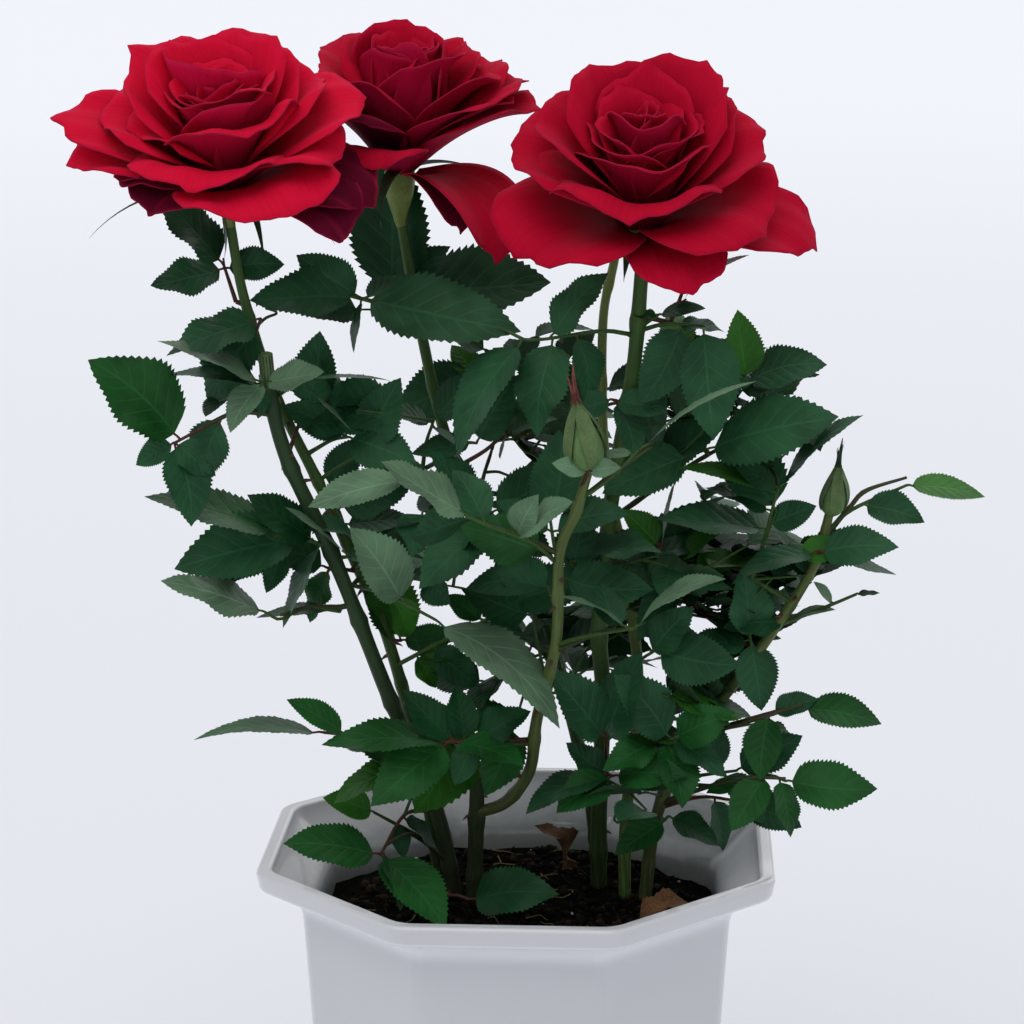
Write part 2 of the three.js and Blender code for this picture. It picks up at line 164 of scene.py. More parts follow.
# Each spray, by name: the points its stalk grows through (mm), and its leaflets. A leaflet has its share of
# the way along the stalk, the clock angle it points in as seen from the front (0 up, 90 right), how far it
# leans forwards, both in degrees, its length (mm), how it lies, and its tone if that isn't dark.
# Of the tones, the darkest one is painted shade, for leaflets that lie in shadow.
PLACED_SPRAYS = {
    "left_top": (((-70, -2, 249), (-73, -1, 258)), (
        (1, 318, 10, 25, HALF), (0.9, 259, 20, 19, HALF), (0.9, 88, -20, 15, OPEN), (1, 0, 15, 15, BLADE),
    )),
    "left_curled": (((-66, -1, 240), (-64, -6, 244), (-63, -9, 246)), (
        (1, 250, 20, 25, HALF), (0.6, 213, -5, 24, OPEN),
    )),
    "stub_node": (((-62, -8, 228), (-62, -13, 231)), (
        (1, 213, 35, 16, OPEN, "pale"), (0.9, 76, 20, 17, HALF, "pale"), (0.8, 296, 20, 29, EDGE, "pale"),
        (0.7, 275, 5, 25, EDGE), (0.3, 195, 0, 8, OPEN),
    )),
    "stub_right": (((-61, -6, 226), (-56, -7, 229), (-52, -8, 231)), (
        (1, 90, 5, 21, BLADE, "pale"), (0.85, 131, 20, 18, BLADE, "pale"),
    )),
    "left_inner": (((-52, 2, 211), (-47, 1, 214), (-43, 0, 215)), (
        (1, 107, 15, 19, OPEN), (1, 297, 5, 18, OPEN), (0.9, 345, 5, 21, TILTED),
    )),
    "left_out": (((-63, -8, 225), (-72, -11, 222), (-84, -15, 216)), (
        (0.93, 314, 10, 30, OPEN, "mid"), (0.45, 205, -20, 20, OPEN), (1, 167, 15, 21, OPEN),
        (1, 240, 5, 11, OPEN), (1, 128, 5, 13, OPEN),
    )),
    "left_mid_upper": (((-46, -4, 187), (-52, -7, 190), (-59, -8, 192)), (
        (1, 286, 5, 35, TILTED, "mid"), (0.6, 258, 10, 33, OPEN), (0.9, 200, 0, 16, OPEN),
        (0.95, 233, 0, 20, OPEN), (0.4, 308, 10, 21, HALF, "deep"), (0.3, 204, 10, 23, EDGE),
    )),
    "left_mid": (((-45, -4, 185), (-42, -7, 186)), (
        (1, 313, 20, 22, BLADE, "pale"), (0.3, 100, -20, 15, TILTED),
    )),
    "left_mid_low": (((-45, -3, 171), (-53, -8, 173), (-59, -12, 171), (-62, -14, 173)), (
        (1, 291, 15, 28, TILTED, "pale"), (0.1, 262, -5, 20, EDGE),
    )),
    "centre_pale": (((-43, 4, 176), (-35, -3, 176), (-29, -12, 176), (-20, -18, 173)), (
        (1, 128, 15, 41, TILTED, "pale"), (0.70, 328, 15, 25, OPEN, "pale"),
        (0.5, 163, -30, 15, OPEN, "fresh"), (0.1, 153, -25, 20, TILTED, "mid"),
    )),
    "centre_twig": (((-31, 6, 155), (-20, 2, 162), (-10, -2, 168), (-2, -4, 174)), (
        (1, 75, 10, 23, OPEN), (0.75, 300, -20, 12, OPEN, "mid"), (0.8, 150, -10, 16, OPEN),
        (0.15, 95, 0, 12, HALF, "fresh"), (0.15, 150, 0, 10, OPEN, "fresh"), (0.3, 130, 5, 16, OPEN),
    )),
    "front_left": (((10, -27, 190), (4, -31, 196), (-10, -37, 203), (-24, -40, 213)), (
        (1, 256, 15, 25, TILTED, "pale"), (0.6, 307, 20, 27, TILTED, "pale"),
        (0.3, 25, 25, 14, OPEN, "pale"), (0.3, 52, 30, 20, TILTED, "pale"),
        (0.1, 283, -15, 22, OPEN, "mid"), (0.6, 245, -25, 18, OPEN), (0.5, 325, -25, 16, OPEN),
    )),
    "front_upper": (((15, -31, 206), (22, -32, 211), (30, -33, 219)), (
        (1, 57, 10, 33, BLADE, "pale"), (0.9, 270, -20, 9, TILTED, "pale"),
    )),
    "front_right": (((10, -22, 168), (18, -28, 172), (29, -32, 175)), (
        (1, 57, 15, 27, EDGE, "pale"), (0.97, 293, 5, 22, BLADE, "pale"), (0.8, 340, -35, 13, OPEN),
    )),
    "upper_centre": (((-33, 29, 243), (-37, 18, 246), (-41, 8, 249)), (
        (1, 270, 15, 27, HALF), (0.95, 305, 5, 19, OPEN), (0.95, 99, 15, 43, HALF),
        (0.9, 187, 20, 14, EDGE), (0.85, 70, -30, 16, TILTED),
    )),
    "behind_centre": (((-29, 30, 246), (-35, 35, 245)), (
        (0.9, 48, 0, 20, OPEN), (0.9, 82, 15, 43, HALF), (1, 0, -8, 40, OPEN, "deep"),
    )),
    "right_bloom_left": (((27, -3, 242), (20, -5, 243), (6, -6, 241), (1, -6, 241)), (
        (1, 209, 15, 33, TILTED), (0.72, 188, 20, 25, OPEN), (0.5, 172, 0, 18, HALF),
        (0.75, 41, 5, 22, HALF),
    )),
    "right_bloom_right": (((30, -3, 243), (36, -6, 245), (45, -8, 245)), (
        (1, 174, 10, 28, OPEN), (0.7, 208, 10, 22, OPEN), (0.6, 100, 0, 12, TILTED),
    )),
    "right_blade": (((37, -5, 245), (39, -4, 250), (41, -4, 256)), (
        (0.4, 53, 10, 22, BLADE, "pale"),
    )),
    "right_cane_leaves": (((30, -3, 244), (34, -5, 247)), (
        (1, 80, 10, 12, TILTED), (1, 270, 0, 6, HALF, "mid"),
    )),
    "bloom_shade": (((27, -1, 224), (23, -5, 226)), (
        (1, 255, 10, 12, OPEN), (0.9, 100, 15, 14, OPEN), (0.8, 160, 20, 16, HALF),
    )),
    "right_out": (((21, 18, 202), (34, 8, 207), (46, -2, 213)), (
        (1, 71, 20, 36, HALF), (0.5, 55, 15, 23, HALF), (0.4, 15, 15, 21, HALF), (0.85, 247, 10, 24, OPEN),
    )),
    "right_fresh": (((45, 8, 212), (50, 5, 221), (56, 2, 230)), (
        (1, 352, 5, 18, OPEN, "fresh"), (0.95, 76, 5, 21, HALF), (0.8, 70, 5, 22, TILTED),
    )),
    "right_folded": (((58, -1, 180), (61, -4, 191), (63, -8, 201), (64, -9, 205)), (
        (1, 45, 15, 29, EDGE), (1, 297, 5, 12, HALF), (0.95, 283, -5, 25, EDGE, "fresh"),
        (0.75, 290, 5, 18, TILTED, "deep"), (0.55, 277, 10, 28, TILTED), (0.6, 65, 10, 13, OPEN),
    )),
    "right_tip": (((76, -3, 192), (82, -2, 198), (96, 1, 204)), (
        (1, 99, -5, 20, TILTED, "fresh"), (0.5, 104, 10, 16, OPEN),
    )),
    "right_mid": (((75, -3, 187), (74, -8, 189)), (
        (1, 84, 10, 20, OPEN), (0.9, 250, 10, 23, TILTED), (0.8, 108, -10, 21, EDGE),
        (0.7, 256, -15, 24, TILTED, "fresh"),
    )),
    "right_small": (((65, 0, 168), (78, -2, 174), (84, -3, 177)), (
        (1, 85, 5, 6, TILTED), (0.7, 320, 10, 8, TILTED, "pale"), (0.1, 72, 10, 13, EDGE, "pale"),
        (0.1, 265, 5, 16, HALF),
    )),
    "right_low_a": (((43, 2, 138), (55, -5, 144), (65, -8, 148), (71, -9, 149)), (
        (1, 98, 10, 20, HALF, "mid"), (0.76, 72, 0, 12, OPEN), (0.74, 187, 15, 17, OPEN, "mid"),
    )),
    "right_low_b": (((38, 4, 125), (53, -4, 127), (62, -10, 132), (67, -12, 131)), (
        (1, 91, 10, 23, OPEN, "mid"), (0.85, 215, 25, 17, OPEN, "mid"), (0.95, 168, 20, 15, HALF, "mid"),
        (0.6, 255, 10, 9, OPEN, "mid"),
    )),
    "low_right_a": (((29, 8, 132), (34, -4, 138), (39, -10, 141)), (
        (1, 60, 15, 18, OPEN, "mid"), (0.95, 321, 10, 23, OPEN), (0.9, 165, 40, 19, OPEN, "mid"),
        (0.95, 120, 20, 17, HALF), (0.8, 250, 30, 18, OPEN, "mid"),
    )),
    "low_right_b": (((32, 7, 106), (35, 0, 114), (38, -5, 119)), (
        (1, 118, 10, 15, HALF, "deep"), (0.9, 238, 20, 16, OPEN, "mid"),
    )),
    "low_centre": (((21, 9, 121), (21, -2, 129), (24, -10, 131)), (
        (1, 243, 30, 18, OPEN, "mid"), (1, 82, 20, 20, OPEN, "mid"), (0.85, 310, 10, 14, OPEN),
        (0.9, 252, 30, 25, TILTED),
    )),
    "low_middle": (((22, 4, 129), (22, -4, 136), (22, -8, 140)), (
        (1, 325, 20, 26, OPEN), (0.9, 20, 10, 27, HALF),
    )),
    "low_left_main": (((4, -12, 141), (-6, -18, 142), (-17, -22, 143), (-31, -24, 144), (-47, -26, 146)), (
        (1, 270, 15, 32, EDGE, "mid"), (0.9, 303, 5, 17, HALF, "mid"), (0.42, 272, 15, 32, TILTED, "mid"),
        (0.42, 235, 30, 26, OPEN, "mid"), (0.4, 100, 30, 21, HALF, "mid"), (0.4, 315, -5, 18, OPEN, "deep"),
        (0.35, 350, -15, 14, OPEN, "deep"), (0.3, 60, 0, 16, OPEN, "deep"), (0.3, 205, 10, 12, OPEN),
    )),
    "low_left_light": (((-25, 4, 109), (-31, -6, 116), (-36, -12, 121)), (
        (1, 295, 25, 15, OPEN, "fresh"), (0.6, 165, 25, 9, OPEN),
    )),
    "pot_left": (((-24, 3, 117), (-29, -8, 119), (-34, -18, 112)), (
        (1, 281, 15, 25, HALF, "mid"), (1, 128, 35, 27, HALF, "mid"), (0.95, 150, 55, 20, TILTED, "mid"),
        (0.5, 142, -20, 15, TILTED, "deep"),
    )),
    "pot_front": (((-19, 3, 94), (-15, -6, 97), (-12, -14, 99)), (
        (1, 78, 20, 25, OPEN, "deep"),
    )),
    "centre_back": (((-21, 29, 218), (-17, 33, 221), (-12, 34, 225)), (
        (1, 245, 0, 25, OPEN), (0.95, 315, -30, 12, OPEN, "fresh"), (0.9, 50, -25, 10, OPEN),
    )),
    "centre_middle": (((-25, 8, 205), (-24, 8, 212), (-22, 7, 218)), (
        (1, 40, 5, 17, HALF), (0.95, 285, 15, 15, TILTED), (0.9, 120, 45, 10, TILTED),
    )),
    "centre_arm": (((-15, 6, 207), (-9, 4, 211), (-4, 3, 215), (2, 4, 215)), (
        (1, 105, -10, 13, EDGE), (0.7, 190, 55, 8, EDGE), (0.65, 75, -25, 16, TILTED, "mid"),
    )),
    "bud_bract": (((16, -31, 209), (18, -35, 214)), (
        (1, 285, 10, 9, OPEN, "pale"), (1, 80, 10, 8, OPEN, "pale"),
    )),
    "middle_a": (((10, -24, 177), (8, -19, 182)), (
        (1, 265, -10, 21, HALF), (0.9, 290, -30, 17, OPEN),
    )),
    "middle_b": (((11, -24, 182), (11, -11, 182)), (
        (1, 95, 5, 23, OPEN),
    )),
    "middle_c": (((21, 0, 171), (17, -6, 179), (13, -10, 186)), (
        (1, 80, 15, 24, TILTED), (0.9, 15, -5, 17, OPEN), (0.6, 345, -20, 18, OPEN),
    )),
    "middle_d": (((-18, 18, 194), (-13, 8, 194), (-7, 0, 196)), (
        (1, 60, 10, 22, HALF), (0.95, 120, 20, 20, OPEN), (0.7, 325, 10, 21, HALF),
    )),
    "middle_e": (((45, 6, 170), (39, 2, 181), (35, 0, 188)), (
        (1, 315, 10, 14, OPEN, "fresh"), (0.75, 55, 15, 20, TILTED, "fresh"), (0.5, 215, 20, 19, OPEN),
        (0.95, 10, 5, 18, BLADE, "fresh"),
    )),
    "middle_f": (((25, 3, 150), (30, -4, 159), (34, -8, 163)), (
        (1, 95, 15, 22, OPEN), (0.9, 40, 10, 17, OPEN),
    )),
    "upper_left_fill": (((-57, -6, 212), (-55, -3, 218), (-53, 0, 222)), (
        (1, 10, 0, 20, OPEN), (0.6, 95, 5, 17, HALF),
    )),
    "left_behind": (((-51, 3, 203), (-44, 1, 208), (-38, 0, 212)), (
        (1, 25, 0, 20, OPEN), (0.8, 100, 0, 17, HALF),
    )),
    "centre_fill": (((-20, 29, 208), (-15, 15, 211), (-11, 4, 213)), (
        (1, 30, 5, 20, OPEN), (0.9, 260, 5, 16, HALF),
    )),
    "behind_bud": (((11, -25, 186), (9, -14, 192), (8, -8, 196)), (
        (1, 5, 0, 23, OPEN), (0.8, 75, 5, 20, HALF), (0.8, 300, 5, 16, HALF),
    )),
    "pale_behind": (((-41, 6, 179), (-44, 4, 180), (-49, 2, 181)), (
        (1, 285, 0, 18, OPEN), (0.9, 200, 5, 15, HALF, "mid"), (0.3, 50, 0, 18, HALF),
    )),
    "behind_cane": (((-44, 6, 187), (-46, 7, 194), (-49, 7, 200)), (
        (1, 35, 0, 17, OPEN), (0.6, 68, 0, 22, OPEN), (0.3, 85, 0, 18, HALF),
    )),
    "between_canes": (((-34, 7, 161), (-31, 10, 160)), (
        (1, 345, 0, 25, OPEN, "fresh"), (1, 80, 10, 16, OPEN, "mid"),
    )),
    "right_fill": (((60, 1, 160), (58, 0, 164)), (
        (1, 355, 0, 20, OPEN), (1, 262, 5, 17, HALF), (1, 170, 10, 18, OPEN),
    )),
    "right_low_fill": (((38, 3, 126), (48, -1, 129), (55, -4, 131)), (
        (1, 60, 0, 19, OPEN), (0.8, 140, 10, 17, HALF), (0.7, 350, 0, 16, OPEN),
    )),
    "soil_right": (((35, 4, 118), (46, 2, 122), (56, -1, 122)), (
        (1, 110, 10, 17, OPEN), (0.7, 170, 10, 14, HALF),
    )),
}


# -------------------- curves and directions


def unit(vectors):
    vectors = np.asarray(vectors, float)
    return vectors / np.maximum(np.linalg.norm(vectors, axis=-1, keepdims=True), 1e-9)


def turns_round(count):
    """Evenly spaced angles all the way round, in radians."""
    return np.arange(count) * math.tau / count


def along_curve(knots, count):
    """Evenly spaced points on a smooth curve through the knots."""
    knots = np.array(knots, float)
    padded = np.vstack((2 * knots[0] - knots[1], knots, 2 * knots[-1] - knots[-2]))
    t = np.linspace(0, 1, 16, endpoint=False)[:, None]
    spans = []
    for a, b, c, d in zip(padded, padded[1:], padded[2:], padded[3:]):
        cubed, squared = 3 * b - a - 3 * c + d, 2 * a - 5 * b + 4 * c - d
        spans.append((cubed * t**3 + squared * t**2 + (c - a) * t + 2 * b) / 2)
    fine = np.vstack(spans + [knots[-1:]])
    reach = np.concatenate(([0], np.cumsum(np.linalg.norm(np.diff(fine, axis=0), axis=1))))
    even = np.linspace(0, reach[-1], count)
    return np.stack([np.interp(even, reach, fine[:, axis]) for axis in range(3)], axis=1)


def length_of(route):
    return np.linalg.norm(np.diff(route, axis=0), axis=1).sum()


def point_at(route, share):
    """The point at a share of the way along an evenly spaced route."""
    place = share * (len(route) - 1)
    return np.array([np.interp(place, range(len(route)), route[:, axis]) for axis in range(3)])


def nearest(points, spot):
    """The one of the points that is nearest to the spot."""
    return points[np.argmin(np.linalg.norm(points - spot, axis=1))]


def carried_frames(route):
    """A side and an up direction at each point of a route, with no sudden turns.

    Side x up is the way that the route runs.
    """
    ways = unit(np.gradient(route, axis=0))
    side = np.cross(ways[0], np.eye(3)[np.argmin(abs(ways[0]))])
    sides = []
    for way in ways:
        side = unit(side - way * side.dot(way))
        sides.append(side)
    sides = np.array(sides)
    return sides, np.cross(ways, sides)


def smooth_step(value, low, high):
    share = np.clip((value - low) / (high - low), 0, 1)
    return share * share * (3 - 2 * share)


def spin(points, axis, degrees):
    """The points turned about an axis through the origin."""
    axis = unit(axis)
    angle = math.radians(degrees)
    across = np.cross(axis, points)
    lengthways = np.multiply.outer(points @ axis, axis)
    return points * math.cos(angle) + across * math.sin(angle) + lengthways * (1 - math.cos(angle))


def wobble(place, size, seed=0.0):
    """Smooth noise from -1 to 1 at a place in mm, whose lumps are about `size` mm."""
    return noise.noise(Vector((place[0] / size + seed, place[1] / size - seed, place[2] / size + 3 * seed)))


# -------------------- small shapes gathered into one mesh


class Shape(NamedTuple):
    """Faces without their points: each corner's point, each face's count of corners, each corner's UV."""

    corners: np.ndarray
    sizes: np.ndarray
    marks: np.ndarray


def shape_from(faces, marks):
    sizes = np.array([len(face) for face in faces])
    return Shape(np.concatenate(faces).astype(int), sizes, np.concatenate(marks).astype(float))


def turned_over(shape):
    """The same faces, looking the other way."""
    starts = np.cumsum(shape.sizes)[:-1]
    faces = [face[::-1] for face in np.split(shape.corners, starts)]
    return shape_from(faces, [mark[::-1] for mark in np.split(shape.marks, starts)])


def grid_shape(rows, columns):
    """A sheet of rows x columns points. Its faces look along columns x rows."""
    faces, marks = [], []
    for r in range(rows - 1):
        for c in range(columns - 1):
            first = r * columns + c
            faces.append([first, first + 1, first + columns + 1, first + columns])
            u0, u1 = c / (columns - 1), (c + 1) / (columns - 1)
            v0, v1 = r / (rows - 1), (r + 1) / (rows - 1)
            marks.append([(u0, v0), (u1, v0), (u1, v1), (u0, v1)])
    return shape_from(faces, marks)


def tube_shape(rings, sides):
    """A closed tube: `rings` rings of `sides` points, then its foot's and its tip's middle points."""
    faces, marks = [], []
    foot, tip = rings * sides, rings * sides + 1
    for r in range(rings - 1):
        v0, v1 = r / (rings - 1), (r + 1) / (rings - 1)
        for s in range(sides):
            after = (s + 1) % sides
            faces.append([r * sides + s, r * sides + after, (r + 1) * sides + after, (r + 1) * sides + s])
            u0, u1 = s / sides, (s + 1) / sides
            marks.append([(u0, v0), (u1, v0), (u1, v1), (u0, v1)])
    last = (rings - 1) * sides
    for s in range(sides):
        after = (s + 1) % sides
        u0, u1 = s / sides, (s + 1) / sides
        faces += [[foot, after, s], [tip, last + s, last + after]]
        marks += [[(u0, 0), (u1, 0), (u0, 0)], [(u0, 1), (u0, 1), (u1, 1)]]
    return shape_from(faces, marks)


class Gathered:
    """Many shapes, in mm, that become one mesh in metres."""

    def __init__(self):
        self.points, self.corners, self.sizes, self.marks, self.finishes = [], [], [], [], []
        self.count = 0

    def add(self, points, shape, finish=0):
        """One shape, or the same shape many times where points has a first axis for each copy."""
        points = np.asarray(points, float)
        copies = points.reshape(-1, points.shape[-2], 3)
        starts = self.count + np.arange(len(copies)) * copies.shape[1]
        self.points.append(copies.reshape(-1, 3))
        self.corners.append((shape.corners[None, :] + starts[:, None]).ravel())
        self.sizes.append(np.tile(shape.sizes, len(copies)))
        self.marks.append(np.tile(shape.marks, (len(copies), 1)))
        self.finishes.append(np.full(len(copies) * len(shape.sizes), finish))
        self.count += copies.shape[0] * copies.shape[1]

    def tube(self, route, radii, sides, finish=0):
        """A closed tube along a route, with a radius for each point, or for each side at each point."""
        rings = len(route)
        radii = np.asarray(radii, float)
        radii = radii[:, None] if radii.ndim == 1 else radii
        radii = np.broadcast_to(radii, (rings, sides))
        side, up = carried_frames(route)
        turn = turns_round(sides)[None, :, None]
        ring = side[:, None] * np.cos(turn) + up[:, None] * np.sin(turn)
        points = (route[:, None] + ring * radii[..., None]).reshape(-1, 3)
        self.add(np.vstack((points, route[:1], route[-1:])), tube_shape(rings, sides), finish)

    def ribbon(self, route, half_widths, face, fold, finish):
        """A narrow blade along a route. Its upper side looks towards `face`, and `fold` lifts its edges."""
        ways = unit(np.gradient(route, axis=0))
        side = unit(np.cross(face, ways))
        up = np.cross(ways, side)
        half = half_widths[:, None]
        lanes = [route + k * side * half + abs(k) * fold * up * half for k in (1, 0.5, 0, -0.5, -1)]
        self.add(np.stack(lanes, axis=1).reshape(-1, 3), grid_shape(len(route), len(lanes)), finish)

    def build(self, name, finishes, slot):
        """The gathered shapes as one object, with its finishes, riding on the body."""
        mesh = bpy.data.meshes.new(name)
        points, corners = np.concatenate(self.points) * MM, np.concatenate(self.corners)
        sizes = np.concatenate(self.sizes)
        mesh.vertices.add(len(points))
        mesh.vertices.foreach_set("co", points.ravel())
        mesh.loops.add(len(corners))
        mesh.loops.foreach_set("vertex_index", corners)
        mesh.polygons.add(len(sizes))
        mesh.polygons.foreach_set("loop_start", np.concatenate(([0], np.cumsum(sizes)[:-1])))
        mesh.polygons.foreach_set("material_index", np.concatenate(self.finishes))
        mesh.update(calc_edges=True)
        mesh.uv_layers.new(name=UV).uv.foreach_set("vector", np.concatenate(self.marks).ravel())
        mesh.shade_smooth()
        for finish in finishes:
            mesh.materials.append(finish)
        if mesh.validate():
            raise RuntimeError(f"{name} has faces that don't hold together")
        piece = bpy.data.objects.new(name, mesh)
        bpy.context.collection.objects.link(piece)
        return placed(piece, slot)


def placed(piece, slot):
    """The piece rides on the plant. The slot it is given is not used."""
    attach(piece, BODY)
    return piece


def apply_modifier(piece, kind, **settings):
    """Adds a modifier with these settings to the piece and applies it."""
    bpy.ops.object.select_all(action="DESELECT")
    piece.select_set(True)
    bpy.context.view_layer.objects.active = piece
    modifier = piece.modifiers.new(kind.title(), kind)
    for name, value in settings.items():
        setattr(modifier, name, value)
    bpy.ops.object.modifier_apply(modifier=modifier.name)


# -------------------- nodes for the finishes


def put(tree, kind, feeds=None, **settings):
    """A node with its settings, and with a plain value or a link into each socket that is named."""
    made = tree.nodes.new(kind)
    for name, value in settings.items():
        setattr(made, name, value)
    for name, feed in (feeds or {}).items():
        if isinstance(feed, bpy.types.NodeSocket):
            tree.links.new(feed, made.inputs[name])
        else:
            made.inputs[name].default_value = feed
    return made


def calc(tree, operation, *feeds):
    return put(tree, "ShaderNodeMath", dict(enumerate(feeds)), operation=operation).outputs[0]


def step(tree, value, low, high, to_low=0.0, to_high=1.0):
    """A smooth step from to_low to to_high as the value goes from low to high."""
    feeds = {0: value, 1: low, 2: high, 3: to_low, 4: to_high}
    return put(tree, "ShaderNodeMapRange", feeds, interpolation_type="SMOOTHSTEP").outputs[0]


def mix(tree, share, first, second, way="MIX"):
    feeds = {0: share, 6: first, 7: second}
    return put(tree, "ShaderNodeMix", feeds, data_type="RGBA", blend_type=way).outputs[2]


def grain(tree, vector, scale, detail=3.0, roughness=0.55):
    """Noise from 0 to 1."""
    feeds = {"Vector": vector, "Scale": scale, "Detail": detail, "Roughness": roughness}
    return put(tree, "ShaderNodeTexNoise", feeds).outputs[0]


def uv_parts(tree):
    """How far across and how far along the piece's own UV map."""
    parts = put(tree, "ShaderNodeSeparateXYZ", {0: put(tree, "ShaderNodeUVMap", uv_map=UV).outputs[0]})
    return parts.outputs[0], parts.outputs[1]


def new_group(name, inputs, outputs):
    """An empty node group with number inputs {name: default} and number outputs."""
    group = bpy.data.node_groups.new(name, "ShaderNodeTree")
    for label, default in inputs.items():
        socket = group.interface.new_socket(label, in_out="INPUT", socket_type="NodeSocketFloat")
        socket.default_value = default
    for label in outputs:
        group.interface.new_socket(label, in_out="OUTPUT", socket_type="NodeSocketFloat")
    return group, put(group, "NodeGroupInput").outputs, put(group, "NodeGroupOutput").inputs


def group_node(tree, name, **feeds):
    """The named group in this tree, with its inputs filled: side_veins=7 fills the input "Side veins"."""
    made = put(tree, "ShaderNodeGroup", node_tree=bpy.data.node_groups[name])
    for label, feed in feeds.items():
        made.inputs[label.replace("_", " ").capitalize()].default_value = feed
    return made.outputs


# -------------------- what a user would change


def colour_setting(name, description, default):
    return FloatVectorProperty(
        name=name, description=description, default=default, subtype="COLOR", size=3, min=0.0, max=1.0)


class RosePotSettings(bpy.types.PropertyGroup):
    """The pot and its soil."""

    glaze: colour_setting("Glaze", "Colour of the pot's glaze", (0.605, 0.612, 0.632))
    soil: colour_setting("Soil", "Colour of the moist potting mix", (0.0034, 0.0028, 0.0020))
    crumbs: IntProperty(
        name="Crumbs", description="How many crumbs of peat and bark lie on the soil", default=1500, min=0,
        max=4000)
    corner: FloatProperty(
        name="Corner rounding", description="How far each corner of the pot is rounded", default=0.0022,
        min=0.0005, max=0.012, unit="LENGTH")


class RosePlantSettings(bpy.types.PropertyGroup):
    """The canes and leaves."""

    dark_leaf: colour_setting("Dark leaf", "Colour of the grown leaves", (0.0170, 0.0740, 0.0290))
    # The darkest leaf colour is painted shade: placed leaves that lie in shadow take it, and grown sprays
    # are dealt it at random among the other tones.
    deep_leaf: colour_setting("Deep leaf", "Colour of the oldest leaves", (0.0060, 0.0440, 0.0130))
    mid_leaf: colour_setting("Mid leaf", "Colour of the leaves by the pot", (0.0105, 0.0740, 0.0140))
    fresh_leaf: colour_setting("Fresh leaf", "Colour of the young leaves", (0.0260, 0.1200, 0.0120))
    pale_leaf: colour_setting("Pale leaf", "Colour of the leaves with a grey bloom", (0.100, 0.185, 0.104))
    under_leaf: colour_setting("Underside", "Colour of the leaves' undersides", (0.035, 0.085, 0.038))
    old_cane: colour_setting("Old cane", "Colour of the oldest canes", (0.020, 0.046, 0.016))
    green_cane: colour_setting("Green cane", "Colour of the grown canes", (0.040, 0.088, 0.020))
    pale_cane: colour_setting("Pale cane", "Colour of this year's cane", (0.150, 0.210, 0.060))
    stalk_red: colour_setting("Red stalk", "Colour of the stalks in the sun", (0.075, 0.030, 0.018))
    leaf_room: FloatProperty(
        name="Room for a spray", description="How much of the foliage each grown spray fills, in cubic cm",
        default=0.92, min=0.3, max=50.0)
    seed: IntProperty(name="Seed", description="Which of the seeded plants is grown", default=11, min=0)


class RoseBloomSettings(bpy.types.PropertyGroup):
    """The petals."""

    petal: colour_setting("Petal", "Colour of a petal's face", (0.66, 0.0060, 0.036))
    # A petal's foot colour is painted shade, for the shadow deep in the bloom.
    petal_painted_shade: colour_setting(
        "Petal foot", "Colour of a petal's face towards its foot", (0.24, 0.0005, 0.0060))
    petal_under: colour_setting("Petal underside", "Colour of a petal's underside", (0.58, 0.0080, 0.060))
    # The lighter rim colour is a painted highlight on the petals' margins and a painted sheen at grazing
    # angles.
    petal_rim: colour_setting("Petal rim", "Colour of a petal's thin margin", (0.62, 0.020, 0.075))
    thickness: FloatProperty(
        name="Petal thickness", description="How thick a petal is", default=0.00035, min=0.0001, max=0.001,
        unit="LENGTH", precision=5)


class RoseStageSettings(bpy.types.PropertyGroup):
    """The studio."""

    floor: colour_setting("Floor", "Colour of the studio floor", (0.90, 0.91, 0.95))
    focal_length: FloatProperty(
        name="Focal length", description="Focal length of the camera's lens, in mm", default=105.47, min=10,
        max=300)
    light: FloatProperty(
        name="Light", description="Strength of the light from the studio's walls", default=0.58, min=0.0,
        max=5.0)


# -------------------- finishes


SIDE_VEINS = 7           # how many side veins a leaflet has on each side
VEIN_SLANT = 0.26        # how far forward a side vein runs on its way out, as a share of a leaflet's length


